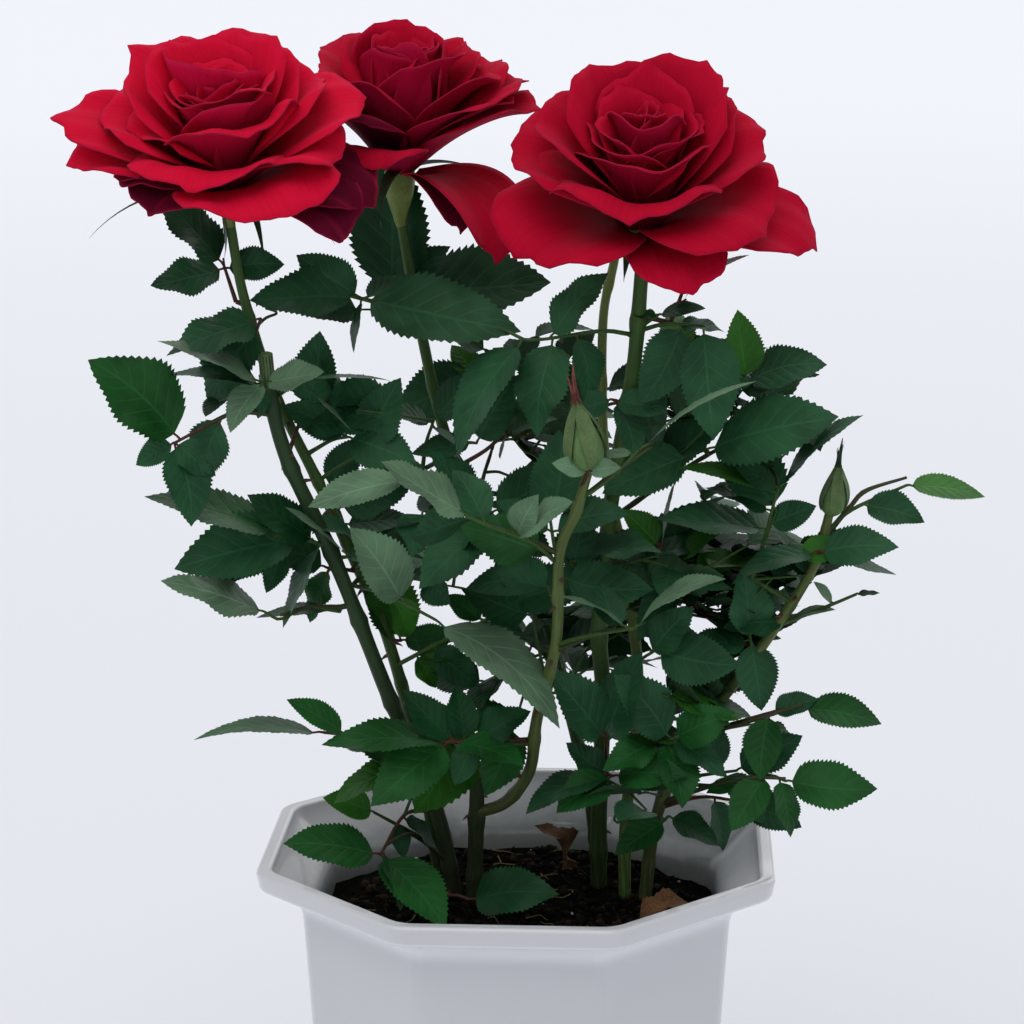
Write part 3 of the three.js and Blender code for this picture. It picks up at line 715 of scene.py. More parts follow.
def build_groups():
    """The effects that several finishes share."""
    group, given, results = new_group("Mottle", {"Scale": 100.0}, ("Coarse", "Fine"))
    place = put(group, "ShaderNodeTexCoord").outputs["Object"]
    finer = calc(group, "MULTIPLY", given["Scale"], 7.0)
    group.links.new(grain(group, place, given["Scale"]), results["Coarse"])
    group.links.new(grain(group, place, finer, detail=4.0, roughness=0.65), results["Fine"])

    group, given, results = new_group(
        "Leaf veins", {"Side veins": SIDE_VEINS, "Slant": VEIN_SLANT}, ("Vein", "Lift"))
    along, across = uv_parts(group)
    off_middle = calc(group, "ABSOLUTE", calc(group, "MULTIPLY_ADD", across, 2.0, -1.0))
    forward = calc(group, "SUBTRACT", along, calc(group, "MULTIPLY", off_middle, given["Slant"]))
    between = calc(group, "PINGPONG", calc(group, "MULTIPLY", forward, given["Side veins"]), 0.5)
    side_vein = calc(group, "MULTIPLY", step(group, between, 0.0, 0.11, 1.0, 0.0),
                     step(group, off_middle, 0.3, 1.0, 0.8, 0.15))
    midrib = step(group, off_middle, 0.015, 0.07, 1.0, 0.0)
    vein = calc(group, "MAXIMUM", side_vein, midrib)
    on_blade = put(group, "ShaderNodeUVMap", uv_map=UV).outputs[0]
    cells = put(group, "ShaderNodeMapping", {"Vector": on_blade, "Scale": (26.0, 17.0, 1.0)}).outputs[0]
    cell_map = {"Vector": cells, "Scale": 1.0}
    fine_veins = put(group, "ShaderNodeTexVoronoi", cell_map, feature="DISTANCE_TO_EDGE").outputs[0]
    quilt = calc(group, "ADD", calc(group, "MULTIPLY", between, 1.3),
                 step(group, fine_veins, 0.0, 0.25, 0.0, 0.22))
    group.links.new(vein, results["Vein"])
    group.links.new(calc(group, "SUBTRACT", quilt, calc(group, "MULTIPLY", vein, 0.5)), results["Lift"])

    group, given, results = new_group("Fibres", {"Across": 30.0, "Lengthways": 2.0}, ("Fibre",))
    across, along = uv_parts(group)
    stretched = put(group, "ShaderNodeCombineXYZ", {
        0: calc(group, "MULTIPLY", across, given["Across"]),
        1: calc(group, "MULTIPLY", along, given["Lengthways"])})
    group.links.new(grain(group, stretched.outputs[0], 1.0, detail=2.0), results["Fibre"])


def new_finish(name, roughness=0.5, shine=0.5, **constants):
    """A material with only its Principled shader, whose constants are set by socket name."""
    material = bpy.data.materials.new(name)
    material.use_nodes = True
    tree = material.node_tree
    skin = tree.nodes["Principled BSDF"]
    skin.inputs["Roughness"].default_value = roughness
    skin.inputs["Specular IOR Level"].default_value = shine
    for label, value in constants.items():
        skin.inputs[label.replace("_", " ").title()].default_value = value
    return material, tree, skin.inputs


def tinted(colour, by, grey=0.0):
    """A colour made lighter or darker, and greyer, with its alpha."""
    mean = sum(colour) / 3
    return (*(min(1.0, by * (part * (1 - grey) + mean * grey)) for part in colour), 1.0)


def raise_surface(tree, skin, height, distance, strength=1.0):
    """Relief from a height of 0 to 1, whose full height is a distance in metres."""
    feeds = {"Height": height, "Distance": distance, "Strength": strength}
    tree.links.new(put(tree, "ShaderNodeBump", feeds).outputs[0], skin["Normal"])


def plain_finish(name, colour, roughness=0.6, scale=300.0, contrast=0.45, relief=0.0002, shine=0.2):
    """One colour with mottling and a fine relief."""
    material, tree, skin = new_finish(name, roughness, shine)
    mottle = group_node(tree, "Mottle", scale=scale)
    spots = calc(tree, "MULTIPLY_ADD", mottle["Fine"], 0.6, calc(tree, "MULTIPLY", mottle["Coarse"], 0.4))
    tree.links.new(
        mix(tree, step(tree, spots, 0.3, 0.7), tinted(colour, 1 - contrast), tinted(colour, 1 + contrast)),
        skin["Base Color"])
    uneven = step(tree, mottle["Fine"], 0.2, 0.8, roughness - 0.08, roughness + 0.08)
    tree.links.new(uneven, skin["Roughness"])
    raise_surface(tree, skin, mottle["Fine"], relief)
    return material


def leaf_finish(tone, upper, under):
    """A leaflet: veined and satin above, paler and duller below."""
    material, tree, skin = new_finish(f"leaf_{tone}", shine=0.14)
    veins = group_node(tree, "Leaf veins", side_veins=SIDE_VEINS, slant=VEIN_SLANT)
    mottle = group_node(tree, "Mottle", scale=70.0)
    blade = mix(tree, step(tree, mottle["Coarse"], 0.3, 0.7), tinted(upper, 0.72), tinted(upper, 1.3))
    above = mix(tree, calc(tree, "MULTIPLY", veins["Vein"], 0.30), blade, tinted(upper, 2.4, 0.10))
    below = mix(
        tree, calc(tree, "MULTIPLY", veins["Vein"], 0.5), tinted(under, 1.0), tinted(under, 1.7, 0.1))
    turned = put(tree, "ShaderNodeNewGeometry").outputs["Backfacing"]
    tree.links.new(mix(tree, turned, above, below), skin["Base Color"])
    shine = step(tree, mottle["Fine"], 0.25, 0.75, 0.40, 0.52)
    tree.links.new(calc(tree, "MULTIPLY_ADD", turned, 0.25, shine), skin["Roughness"])
    raise_surface(tree, skin, veins["Lift"], 0.00025, 0.4)
    return material


def petal_finish(name, face, foot, rim, share_of_margin_highlight=0.14):
    """A velvety petal, with painted shade darker towards its foot, a painted highlight on its thin lighter
    margin, a painted sheen at grazing angles, and fine fibres along it.
    """
    material, tree, skin = new_finish(name, 0.65, shine=0.02)
    across, along = uv_parts(tree)
    fibre = group_node(tree, "Fibres", across=34.0, lengthways=2.5)["Fibre"]
    mottle = group_node(tree, "Mottle", scale=60.0)
    # Painted shade: the face darkens towards the petal's foot, deep in the bloom.
    body = mix(tree, step(tree, along, 0.1, 0.85), tinted(foot, 1.0), tinted(face, 1.0))
    body = mix(tree, step(tree, fibre, 0.35, 0.7, 0.0, 0.22), body, tinted(face, 0.6))
    body = mix(tree, step(tree, mottle["Coarse"], 0.35, 0.75, 0.0, 0.25), body, tinted(face, 1.25))
    # A painted highlight: towards its edge, the thin margin takes some of the lighter rim colour.
    off_middle = calc(tree, "ABSOLUTE", calc(tree, "MULTIPLY_ADD", across, 2.0, -1.0))
    margin = calc(tree, "MAXIMUM", step(tree, off_middle, 0.955, 1.0), step(tree, along, 0.965, 1.0))
    margin = calc(tree, "MULTIPLY", margin, step(tree, along, 0.35, 0.6, 0.0, share_of_margin_highlight))
    body = mix(tree, margin, body, tinted(rim, 1.0))
    # A painted sheen: where the petal is seen at a grazing angle, it takes on the lighter rim colour.
    grazed = put(tree, "ShaderNodeLayerWeight", {"Blend": 0.35}).outputs["Facing"]
    painted_sheen = mix(tree, step(tree, grazed, 0.25, 1.0, 0.0, 0.45), body, tinted(rim, 1.0))
    tree.links.new(painted_sheen, skin["Base Color"])
    raise_surface(tree, skin, fibre, 0.0003, 0.6)
    return material


def cane_finish(name, colour, foot_colour):
    """A cane: satin green, browner towards the soil, with lengthways streaks and pale specks."""
    material, tree, skin = new_finish(name, 0.5, shine=0.2)
    place = put(tree, "ShaderNodeTexCoord").outputs["Object"]
    height = put(tree, "ShaderNodeSeparateXYZ", {0: place}).outputs[2]
    mottle = group_node(tree, "Mottle", scale=140.0)
    fibre = group_node(tree, "Fibres", across=12.0, lengthways=9.0)["Fibre"]
    aged = step(tree, calc(tree, "MULTIPLY_ADD", mottle["Coarse"], 0.05, height), 0.10, 0.21, 1.0, 0.0)
    body = mix(tree, aged, tinted(colour, 1.0), tinted(foot_colour, 1.0))
    body = mix(tree, step(tree, fibre, 0.4, 0.7, 0.0, 0.45), body, tinted(colour, 1.7))
    body = mix(tree, step(tree, mottle["Fine"], 0.62, 0.72, 0.0, 0.35), body, tinted(colour, 2.6, 0.3))
    tree.links.new(body, skin["Base Color"])
    raise_surface(tree, skin, calc(tree, "ADD", fibre, mottle["Fine"]), 0.0002, 0.7)
    return material


def glaze_finish(colour):
    """White glazed ceramic under a clear coat, with painted shade, grey, inside down by the soil, and a
    painted highlight, whiter, in the cove.
    """
    material, tree, skin = new_finish("white_glaze", 0.28, Coat_Weight=0.7, Coat_Roughness=0.06)
    mottle = group_node(tree, "Mottle", scale=22.0)
    place = put(tree, "ShaderNodeTexCoord").outputs["Object"]
    facing = put(tree, "ShaderNodeNewGeometry").outputs["Normal"]
    outwards = put(
        tree, "ShaderNodeVectorMath", {0: place, 1: (1.0, 1.0, 0.0)}, operation="MULTIPLY").outputs[0]
    facing_out = put(
        tree, "ShaderNodeVectorMath", {0: outwards, 1: facing}, operation="DOT_PRODUCT").outputs["Value"]
    # Painted shade: the inside wall turns grey below a ragged line near the soil, where the foliage shades
    # it.
    inside_wall = step(tree, facing_out, -0.02, -0.008, 1.0, 0.0)
    height = put(tree, "ShaderNodeSeparateXYZ", {0: place}).outputs[2]
    ragged_height = calc(tree, "MULTIPLY_ADD", mottle["Fine"], 0.01, height)
    painted_inner_shade = calc(tree, "MULTIPLY", inside_wall, step(tree, ragged_height, 0.096, 0.112, 1.0, 0.1))
    # A painted highlight: faces that look down in the cove under the rim are whiter.
    upwards = put(tree, "ShaderNodeSeparateXYZ", {0: facing}).outputs[2]
    under_rim = step(tree, upwards, -0.6, -0.1, 1.0, 0.0)
    coved = calc(tree, "MULTIPLY", under_rim, step(tree, height, 0.092, 0.096))
    clean = mix(tree, step(tree, mottle["Coarse"], 0.3, 0.7), tinted(colour, 0.985), tinted(colour, 1.015))
    clean = mix(tree, coved, clean, tinted(colour, 1.28))
    # The grey is the painted shade inside the pot.
    tree.links.new(mix(tree, painted_inner_shade, clean, (0.27, 0.29, 0.28, 1.0)), skin["Base Color"])
    return material


BLOOM_AGES = {"old": 1.0, "young": 0.72}        # how bright an old bloom's petals and a young one's are


def build_finishes(context):
    """Every finish of the plant and the pot, by name."""
    pot, plant, bloom = context.scene.rose_pot, context.scene.rose_plant, context.scene.rose_bloom
    build_groups()
    glaze_finish(pot.glaze)
    plain_finish("potting_mix", pot.soil, 0.9, 260.0, 0.7, 0.0008, 0.03)
    plain_finish("peat_crumb", tinted(pot.soil, 2.0)[:3], 0.8, 500.0, 0.7, 0.0003, 0.08)
    plain_finish("bark_crumb", (0.022, 0.012, 0.006), 0.75, 500.0, 0.6, 0.0003, 0.08)
    plain_finish("perlite", (0.55, 0.54, 0.50), 0.7, 900.0, 0.15, 0.0003)
    plain_finish("dry_leaf", (0.115, 0.055, 0.022), 0.7, 240.0, 0.6, 0.0003)
    for tone in LEAF_TONES:
        leaf_finish(tone, getattr(plant, f"{tone}_leaf"), plant.under_leaf)
    cane_finish("cane_old", plant.old_cane, (0.030, 0.034, 0.016))
    cane_finish("cane_green", plant.green_cane, (0.028, 0.040, 0.016))
    cane_finish("cane_pale", plant.pale_cane, plant.green_cane)
    cane_finish("bough", (0.040, 0.046, 0.018), (0.030, 0.040, 0.016))
    cane_finish("cane_front", tinted(plant.pale_cane, 0.55)[:3], (0.055, 0.062, 0.026))
    plain_finish("cut_end", (0.20, 0.15, 0.07), 0.8, 900.0, 0.3)
    plain_finish("prickle", (0.095, 0.045, 0.030), 0.45, 600.0, 0.3)
    plain_finish("stalk_green", plant.green_cane, 0.5, 400.0, 0.3)
    plain_finish("stalk_red", plant.stalk_red, 0.5, 400.0, 0.3)
    plain_finish("calyx", (0.150, 0.200, 0.050), 0.5, 300.0, 0.3)
    plain_finish("sepal", (0.022, 0.050, 0.020), 0.55, 300.0, 0.35)
    plain_finish("bud_green", (0.098, 0.185, 0.060), 0.5, 300.0, 0.25)
    plain_finish("bud_tip", (0.180, 0.060, 0.045), 0.55, 300.0, 0.3)
    plain_finish("sepal_pale", (0.100, 0.160, 0.060), 0.55, 300.0, 0.25)
    for age, bright in BLOOM_AGES.items():
        colours = bloom.petal, bloom.petal_painted_shade, bloom.petal_under, bloom.petal_rim
        face, deep, under, rim = (tinted(colour, bright)[:3] for colour in colours)
        # Each face darkens to the foot colour, and each underside to a darker copy of its own, towards the
        # petal's foot: painted shade deep in the bloom.
        petal_finish(f"petal_face_{age}", face, deep, rim)
        petal_finish(f"petal_under_{age}", under, tinted(under, 0.7)[:3], rim, 0.1)
    # Darker purple copies of the petal finishes: painted shade for the petals that hang in shadow.
    petal_finish("petal_face_fading", (0.105, 0.0030, 0.018), (0.050, 0.0025, 0.012), bloom.petal_rim)
    petal_finish("petal_under_fading", (0.075, 0.006, 0.024), (0.030, 0.003, 0.012), bloom.petal_rim)
    petal_finish("petal_rim_fading", (0.160, 0.004, 0.022), bloom.petal_painted_shade, bloom.petal_rim)
    petal_finish("petal_rim", tinted(bloom.petal_rim, 0.5)[:3], bloom.petal_painted_shade, bloom.petal_rim)


def finishes(*names):
    return [bpy.data.materials[name] for name in names]


# -------------------- pot and soil


EDGE_ROUNDING = 1.2      # the radius of the rim's edges
RIM_FLARE = 0.6          # how much wider the rim's band is at its top than at its foot


def quarter_turn(steps, start=0):
    """The angles of a quarter turn in this many steps, from its start or from a later step on."""
    return [math.pi / 2 * k / steps for k in range(start, steps + 1)]


def pot_profile():
    """The pot's half width and height, in mm, from its foot up the outside, over the rim and down inside."""
    edge = EDGE_ROUNDING
    band_foot = POT_HEIGHT - RIM_BAND
    cove_foot = band_foot - COVE
    profile = [(WALL_FOOT_HALF - 3, 0), (WALL_FOOT_HALF - 0.8, 0.5), (WALL_FOOT_HALF, 2.2)]
    profile.append((WALL_TOP_HALF, cove_foot))
    reach, rise = RIM_HALF - edge - WALL_TOP_HALF, COVE - 0.6
    for angle in quarter_turn(8, 1):
        profile.append((WALL_TOP_HALF + reach * (1 - math.cos(angle)), cove_foot + rise * math.sin(angle)))
    for angle in quarter_turn(4, 1):
        height = band_foot + edge * (1 - math.cos(angle)) - 0.4
        profile.append((RIM_HALF - edge + edge * math.sin(angle), height))
    top = POT_HEIGHT - edge
    for angle in quarter_turn(4):
        profile.append((RIM_HALF + RIM_FLARE - edge + edge * math.cos(angle), top + edge * math.sin(angle)))
    inner = RIM_HALF - RIM_WALL
    for angle in quarter_turn(4):
        profile.append((inner + edge - edge * math.sin(angle), top + edge * math.cos(angle)))
    # Inside, the band leans in, and a slope leads down to the wall just above the soil.
    profile += [(inner - 0.8, 107), (inner - 3.2, band_foot - 0.4), (inner - 7, 100.6), (inner - 9.6, 98.2)]
    profile += [(WALL_INSIDE, 94.5), (WALL_INSIDE - 0.6, SOIL_TOP - 5)]
    return profile


class ROSE_OT_pot(bpy.types.Operator):
    """Make the glazed octagonal pot, with its coved rim"""

    bl_idname = "rose.pot"
    bl_label = "Pot"

    def execute(self, context):
        profile = pot_profile()
        corner = 1 / math.cos(math.pi / POT_SIDES)
        bpy.ops.object.select_all(action="DESELECT")
        bpy.ops.mesh.primitive_circle_add(
            vertices=POT_SIDES, radius=profile[0][0] * corner * MM, fill_type="NGON",
            rotation=(0, 0, math.pi / POT_SIDES))
        pot = context.active_object
        pot.name = pot.data.name = "pot"
        bpy.ops.object.transform_apply(location=True, rotation=True, scale=True)
        bpy.ops.object.mode_set(mode="EDIT")
        bpy.ops.mesh.select_all(action="SELECT")
        bpy.ops.mesh.bevel(affect="VERTICES", offset=context.scene.rose_pot.corner, segments=4)
        for (half, height), (next_half, next_height) in zip(profile, profile[1:]):
            bpy.ops.mesh.extrude_region_move(
                TRANSFORM_OT_translate={"value": (0, 0, (next_height - height) * MM)})
            bpy.ops.transform.resize(
                value=(next_half / half, next_half / half, 1), center_override=(0, 0, next_height * MM))
        bpy.ops.mesh.select_all(action="SELECT")
        bpy.ops.mesh.normals_make_consistent(inside=False)
        bpy.ops.object.mode_set(mode="OBJECT")
        bpy.ops.object.shade_smooth_by_angle(angle=math.radians(50))
        apply_modifier(pot, "WEIGHTED_NORMAL", keep_sharp=True)
        pot.data.materials.append(bpy.data.materials["white_glaze"])
        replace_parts(placed(pot, "glaze"), "pot_wall", "pot_rim")
        return {"FINISHED"}


def octagon_reach(angle):
    """How far an octagon reaches in a direction, as a share of half its width across flats."""
    side = math.tau / POT_SIDES
    return 1 / math.cos((angle + side / 2) % side - side / 2)


def soil_height(x, y):
    """The height of the soil, in mm, at a place in the pot: lumpy, and lower by the wall."""
    lumps = 1.3 * wobble((x, y, 0), 17) + 0.8 * wobble((x, y, 0), 6, 4) + 0.45 * wobble((x, y, 0), 2.4, 9)
    from_middle = math.hypot(x, y) / WALL_TOP_HALF
    return SOIL_TOP - 0.4 + lumps - 1.6 * smooth_step(from_middle, 0.7, 1.0)


def ball_corners():
    """The twelve corners of a twenty-sided ball."""
    golden = (1 + math.sqrt(5)) / 2
    corners = [(0, a, b * golden) for a in (-1, 1) for b in (-1, 1)]
    return np.array(corners + [(z, x, y) for x, y, z in corners] + [(y, z, x) for x, y, z in corners])


def ball_shape():
    """The faces of a twenty-sided ball, which join every three corners that are a side apart."""
    corners, side = ball_corners(), 2.1
    apart = np.linalg.norm(corners[:, None] - corners[None], axis=2)
    faces = []
    for i in range(12):
        for j in range(i + 1, 12):
            for k in range(j + 1, 12):
                if max(apart[i, j], apart[j, k], apart[i, k]) < side:
                    outward = np.cross(corners[j] - corners[i], corners[k] - corners[i]) @ corners[i] > 0
                    faces.append([i, j, k] if outward else [i, k, j])
    return shape_from(faces, [[(0.0, 0.0)] * 3] * len(faces))


def crumb_points(draw, size):
    """A broken lump about `size` mm across: a twenty-sided ball with its corners moved."""
    corners = unit(ball_corners()) * draw.uniform(0.65, 1.2, (12, 1)) * draw.uniform(0.5, 1.3, 3)
    return spin(corners, draw.normal(size=3), draw.uniform(0, 360)) * size / 2


CRUMBS = {"peat_crumb": 0.78, "bark_crumb": 0.20, "perlite": 0.02}        # the share of each kind
BIGGEST_CRUMB = {"perlite": 1.2}
ROOTLETS = 70

# The dry leaflets on the soil: foot, tip and half width. One stands among the canes, and one lies in front.
FALLEN_LEAVES = (((10, 24, 94), (3, 19, 108), 6.0), ((31, -20, 95.5), (44, -13, 98.5), 4.5))


class ROSE_OT_soil(bpy.types.Operator):
    """Make the soil in the pot, with its crumbs, perlite, rootlets and fallen leaves"""

    bl_idname = "rose.soil"
    bl_label = "Soil"

    def execute(self, context):
        draw = np.random.default_rng(context.scene.rose_plant.seed + 1)
        self.bed()
        self.crumbs(draw, context.scene.rose_pot.crumbs)
        self.rootlets(draw)
        self.fallen_leaves()
        return {"FINISHED"}

    def bed(self):
        """The ground itself: rings from the middle out to the wall, and a skirt down inside it."""
        rings, sectors = 34, 120
        into_wall, foot = 0.3, SOIL_TOP - 6
        points = []
        for r in range(rings):
            for s in range(sectors):
                angle = s * math.tau / sectors
                reach = (WALL_INSIDE + into_wall) * octagon_reach(angle) * ((r + 0.5) / (rings - 0.5))
                x, y = reach * math.cos(angle), reach * math.sin(angle)
                points.append((x, y, soil_height(x, y)))
        skirt = [(x, y, foot) for x, y, _ in points[-sectors:]]
        ground = Gathered()
        ground.add(points + skirt + [(0, 0, soil_height(0, 0)), (0, 0, foot)],
                   turned_over(tube_shape(rings + 1, sectors)))
        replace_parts(ground.build("soil_bed", finishes("potting_mix"), "soil"), "soil")

    def crumbs(self, draw, count):
        """Crumbs of peat, bark and perlite, spread evenly."""
        crumbs, shape = Gathered(), ball_shape()
        kinds, shares = list(CRUMBS), list(CRUMBS.values())
        for _ in range(count):
            angle = draw.uniform(0, math.tau)
            reach = (WALL_INSIDE - 2.5) * octagon_reach(angle) * math.sqrt(draw.uniform(0, 1))
            x, y = reach * math.cos(angle), reach * math.sin(angle)
            size = 0.7 + 2.6 * draw.uniform(0, 1) ** 2.5
            kind = draw.choice(len(kinds), p=shares)
            size = min(size, BIGGEST_CRUMB.get(kinds[kind], size))
            lump = crumb_points(draw, size) + (x, y, soil_height(x, y) + 0.2 * size)
            crumbs.add(lump, shape, kind)
        crumbs.build("soil_crumbs", finishes(*kinds), "soil")

    def rootlets(self, draw):
        """Thin dry roots and straws that lie on the soil."""
        roots = Gathered()
        for _ in range(ROOTLETS):
            angle, reach = draw.uniform(0, math.tau), draw.uniform(6, WALL_INSIDE - 7)
            x, y = reach * math.cos(angle), reach * math.sin(angle)
            way, bend = draw.uniform(0, math.tau), draw.uniform(-0.5, 0.5)
            knots = []
            for k in range(5):
                knots.append((x, y, soil_height(x, y) + draw.uniform(0.3, 1.3)))
                x += 2.2 * math.cos(way)
                y += 2.2 * math.sin(way)
                way += bend + draw.normal(0, 0.35)
            if max(abs(x), abs(y), (abs(x) + abs(y)) / math.sqrt(2)) < WALL_INSIDE - 1:
                roots.tube(along_curve(knots, 9), np.linspace(0.22, 0.08, 9), 4, int(draw.uniform() < 0.4))
        roots.build("soil_rootlets", finishes("bark_crumb", "cut_end"), "soil")

    def fallen_leaves(self):
        """Dry brown leaflets, curled along their midribs."""
        fallen = Gathered()
        for foot, tip, half in FALLEN_LEAVES:
            add_leaflets(
                fallen, leaf_template(10, 2, 1), np.array([foot], float), np.array([tip], float),
                np.array([(0.3, -0.3, 1.0)]), np.array([half]), arch=[0.2], fold=[0.7], wave=[0.35])
        fallen.build("soil_dry_leaves", finishes("dry_leaf"), "soil")


# -------------------- canes, boughs and prickles


RING_GAP = 1.6           # mm from one ring of a limb's points to the next


def add_cane(gathered, limb, draw, node_gap=21.0, sides=14):
    """A limb with slight ribs and a swelling at each node, the nodes being about node_gap mm apart."""
    route = along_curve(limb.route, 3 + int(length_of(np.array(limb.route, float)) / RING_GAP))
    run = length_of(route)
    along = np.linspace(0, 1, len(route))
    radii = limb.foot + (limb.tip - limb.foot) * along
    shift = draw.uniform(0.2, 0.8) * node_gap
    for k in range(int((run - shift) / node_gap) + 1):
        node = (shift + k * node_gap + draw.normal(0, 2.0)) / run
        if node > 0.97:
            continue
        off = (along - node) * run
        scar, swelling = np.exp(-(off / 1.5) ** 2), np.exp(-(off / 4.0) ** 2)
        radii = radii + 0.20 * limb.tip * scar + 0.05 * limb.tip * swelling
    turn = turns_round(sides)
    phase = draw.uniform(0, math.tau, 3)
    relief = np.stack([
        0.022 * np.sin(3 * turn + phase[0] + 2.2 * a) + 0.018 * np.sin(5 * turn + phase[1] - 5 * a)
        + 0.015 * math.sin(60 * a + phase[2]) for a in along])
    gathered.tube(route, radii[:, None] * (1 + relief), sides)
    return route


# The canes that end in a cut: how far down from it, in mm, the wood is new or dry, and that wood's finish.
CUT_ENDS = {"left": (13, "sepal_pale"), "cut": (0.6, "cut_end")}


class ROSE_OT_canes(bpy.types.Operator):
    """Make each cane from its foot in the soil to its bloom, bud or cut end"""

    bl_idname = "rose.canes"
    bl_label = "Canes"

    def execute(self, context):
        draw = np.random.default_rng(context.scene.rose_plant.seed + 2)
        for name, limb in CANES.items():
            cane = Gathered()
            route = add_cane(cane, limb, draw)
            end_length, end_finish = CUT_ENDS.get(name, (0, "cut_end"))
            if end_length:
                end = route[-1] + np.outer((-end_length, 0.3, 0.7), unit(route[-1] - route[-3]))
                cane.tube(end, np.array((1.04, 1.0, 0.55)) * limb.tip, 14, 1)
            piece = cane.build(f"cane_{name}", finishes(limb.finish, end_finish), "cane")
            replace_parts(piece, f"stem_{name}")
        return {"FINISHED"}


BOUGH_SLIMMER = 0.85     # a bough's radius here, as a share of its radius in the CAD model


class ROSE_OT_boughs(bpy.types.Operator):
    """Make the side shoots that carry the placed sprays"""

    bl_idname = "rose.boughs"
    bl_label = "Boughs"

    def execute(self, context):
        draw = np.random.default_rng(context.scene.rose_plant.seed + 3)
        wood = np.vstack([along_curve(limb.route, 80) for limb in CANES.values()])
        for name, route in BOUGHS.items():
            bough = Gathered()
            foot = nearest(wood, route[0])
            if np.linalg.norm(foot - route[0]) > 1:
                route = (foot, *route)
            limb = Limb(BOUGH_SLIMMER * BOUGH_FOOT, BOUGH_SLIMMER * BOUGH_TIP, route, "bough")
            add_cane(bough, limb, draw, 11.0, 9)
            piece = bough.build(f"bough_{name}_shoot", finishes(limb.finish), "cane")
            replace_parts(piece, f"bough_{name}")
        return {"FINISHED"}


PRICKLE_GAP = 16         # mm of cane for each prickle


class ROSE_OT_prickles(bpy.types.Operator):
    """Make the hooked prickles on the canes"""

    bl_idname = "rose.prickles"
    bl_label = "Prickles"

    def execute(self, context):
        draw = np.random.default_rng(context.scene.rose_plant.seed + 4)
        prickles = Gathered()
        for limb in CANES.values():
            route = along_curve(limb.route, 60)
            side, up = carried_frames(route)
            for _ in range(int(length_of(route) / PRICKLE_GAP)):
                k = draw.integers(6, 52)
                turn = draw.uniform(0, math.tau)
                out = side[k] * math.cos(turn) + up[k] * math.sin(turn)
                radius = limb.foot + (limb.tip - limb.foot) * k / 60
                length = draw.uniform(1.6, 3.0)
                foot = route[k] + out * radius * 0.7
                drop = unit(route[k - 1] - route[k])
                shares = np.linspace(0, 1, 5)[:, None]
                spine = foot + out * length * shares + drop * 0.45 * length * shares**2
                prickles.tube(spine, 0.62 * (1 - shares[:, 0]) ** 0.8 + 0.03, 6)
        prickles.build("prickles", finishes("prickle"), "cane")
        return {"FINISHED"}


# -------------------- leaves

# The second tone, the darkest, is a darker copy of the leaf green: painted shade for leaves that lie in
# shadow.
LEAF_TONES = ("dark", "deep", "mid", "fresh", "pale")
LANES_REACH = 0.66       # how much of a leaflet's half width its plain faces cover
NOTCH = 0.94             # how much of the half width a notch between two teeth reaches
TOOTH = 0.05             # how far a tooth stands out, as a share of the greatest half width
TOOTHED = (0.04, 0.97)   # the shares of the length between which the margin has teeth
BROADEST = 0.38          # the share of its length at which a leaflet is broadest


def leaf_template(segments, lanes, teeth):
    """A leaflet's points, as rows of (share of its length, share of its half width, tooth), and its faces.

    The blade has `lanes` columns of plain faces on each side of the midrib. Outside them, at both margins,
    each segment has one face whose outer edge runs out and back round its teeth.
    """
    points, faces = [], []

    def point(along, across, tooth=0.0):
        points.append((along, across, tooth))
        return len(points) - 1

    def face(*ring):
        faces.append([p for k, p in enumerate(ring) if p != ring[k - 1]])

    base, tip = point(0, 0), point(1, 0)
    shares = [LANES_REACH * k / lanes for k in range(-lanes, lanes + 1)]
    rows = [[base] * len(shares)]
    rows += [[point(k / segments, share) for share in shares] for k in range(1, segments)]
    rows.append([tip] * len(shares))
    for near, far in zip(rows, rows[1:]):
        for j in range(len(shares) - 1):
            face(near[j], far[j], far[j + 1], near[j + 1])
    pitch = 1 / (segments * teeth)
    for side in (-1, 1):
        margin = [base] + [point(k / segments, side * NOTCH) for k in range(1, segments)] + [tip]
        for k in range(segments):
            edge = [margin[k]]
            for tooth in range(teeth):
                start = k / segments + tooth * pitch
                if TOOTHED[0] < start < TOOTHED[1]:
                    edge.append(point(start + 0.8 * pitch, side, side))
                if tooth < teeth - 1:
                    edge.append(point(start + pitch, side * NOTCH))
            edge.append(margin[k + 1])
            near, far = rows[k][0 if side < 0 else -1], rows[k + 1][0 if side < 0 else -1]
            if side < 0:
                face(*edge, far, near)
            else:
                face(near, far, *edge[::-1])
    points = np.array(points)
    marks = [[(points[p, 0], 0.5 + 0.5 * points[p, 1]) for p in ring] for ring in faces]
    return points, shape_from(faces, marks)


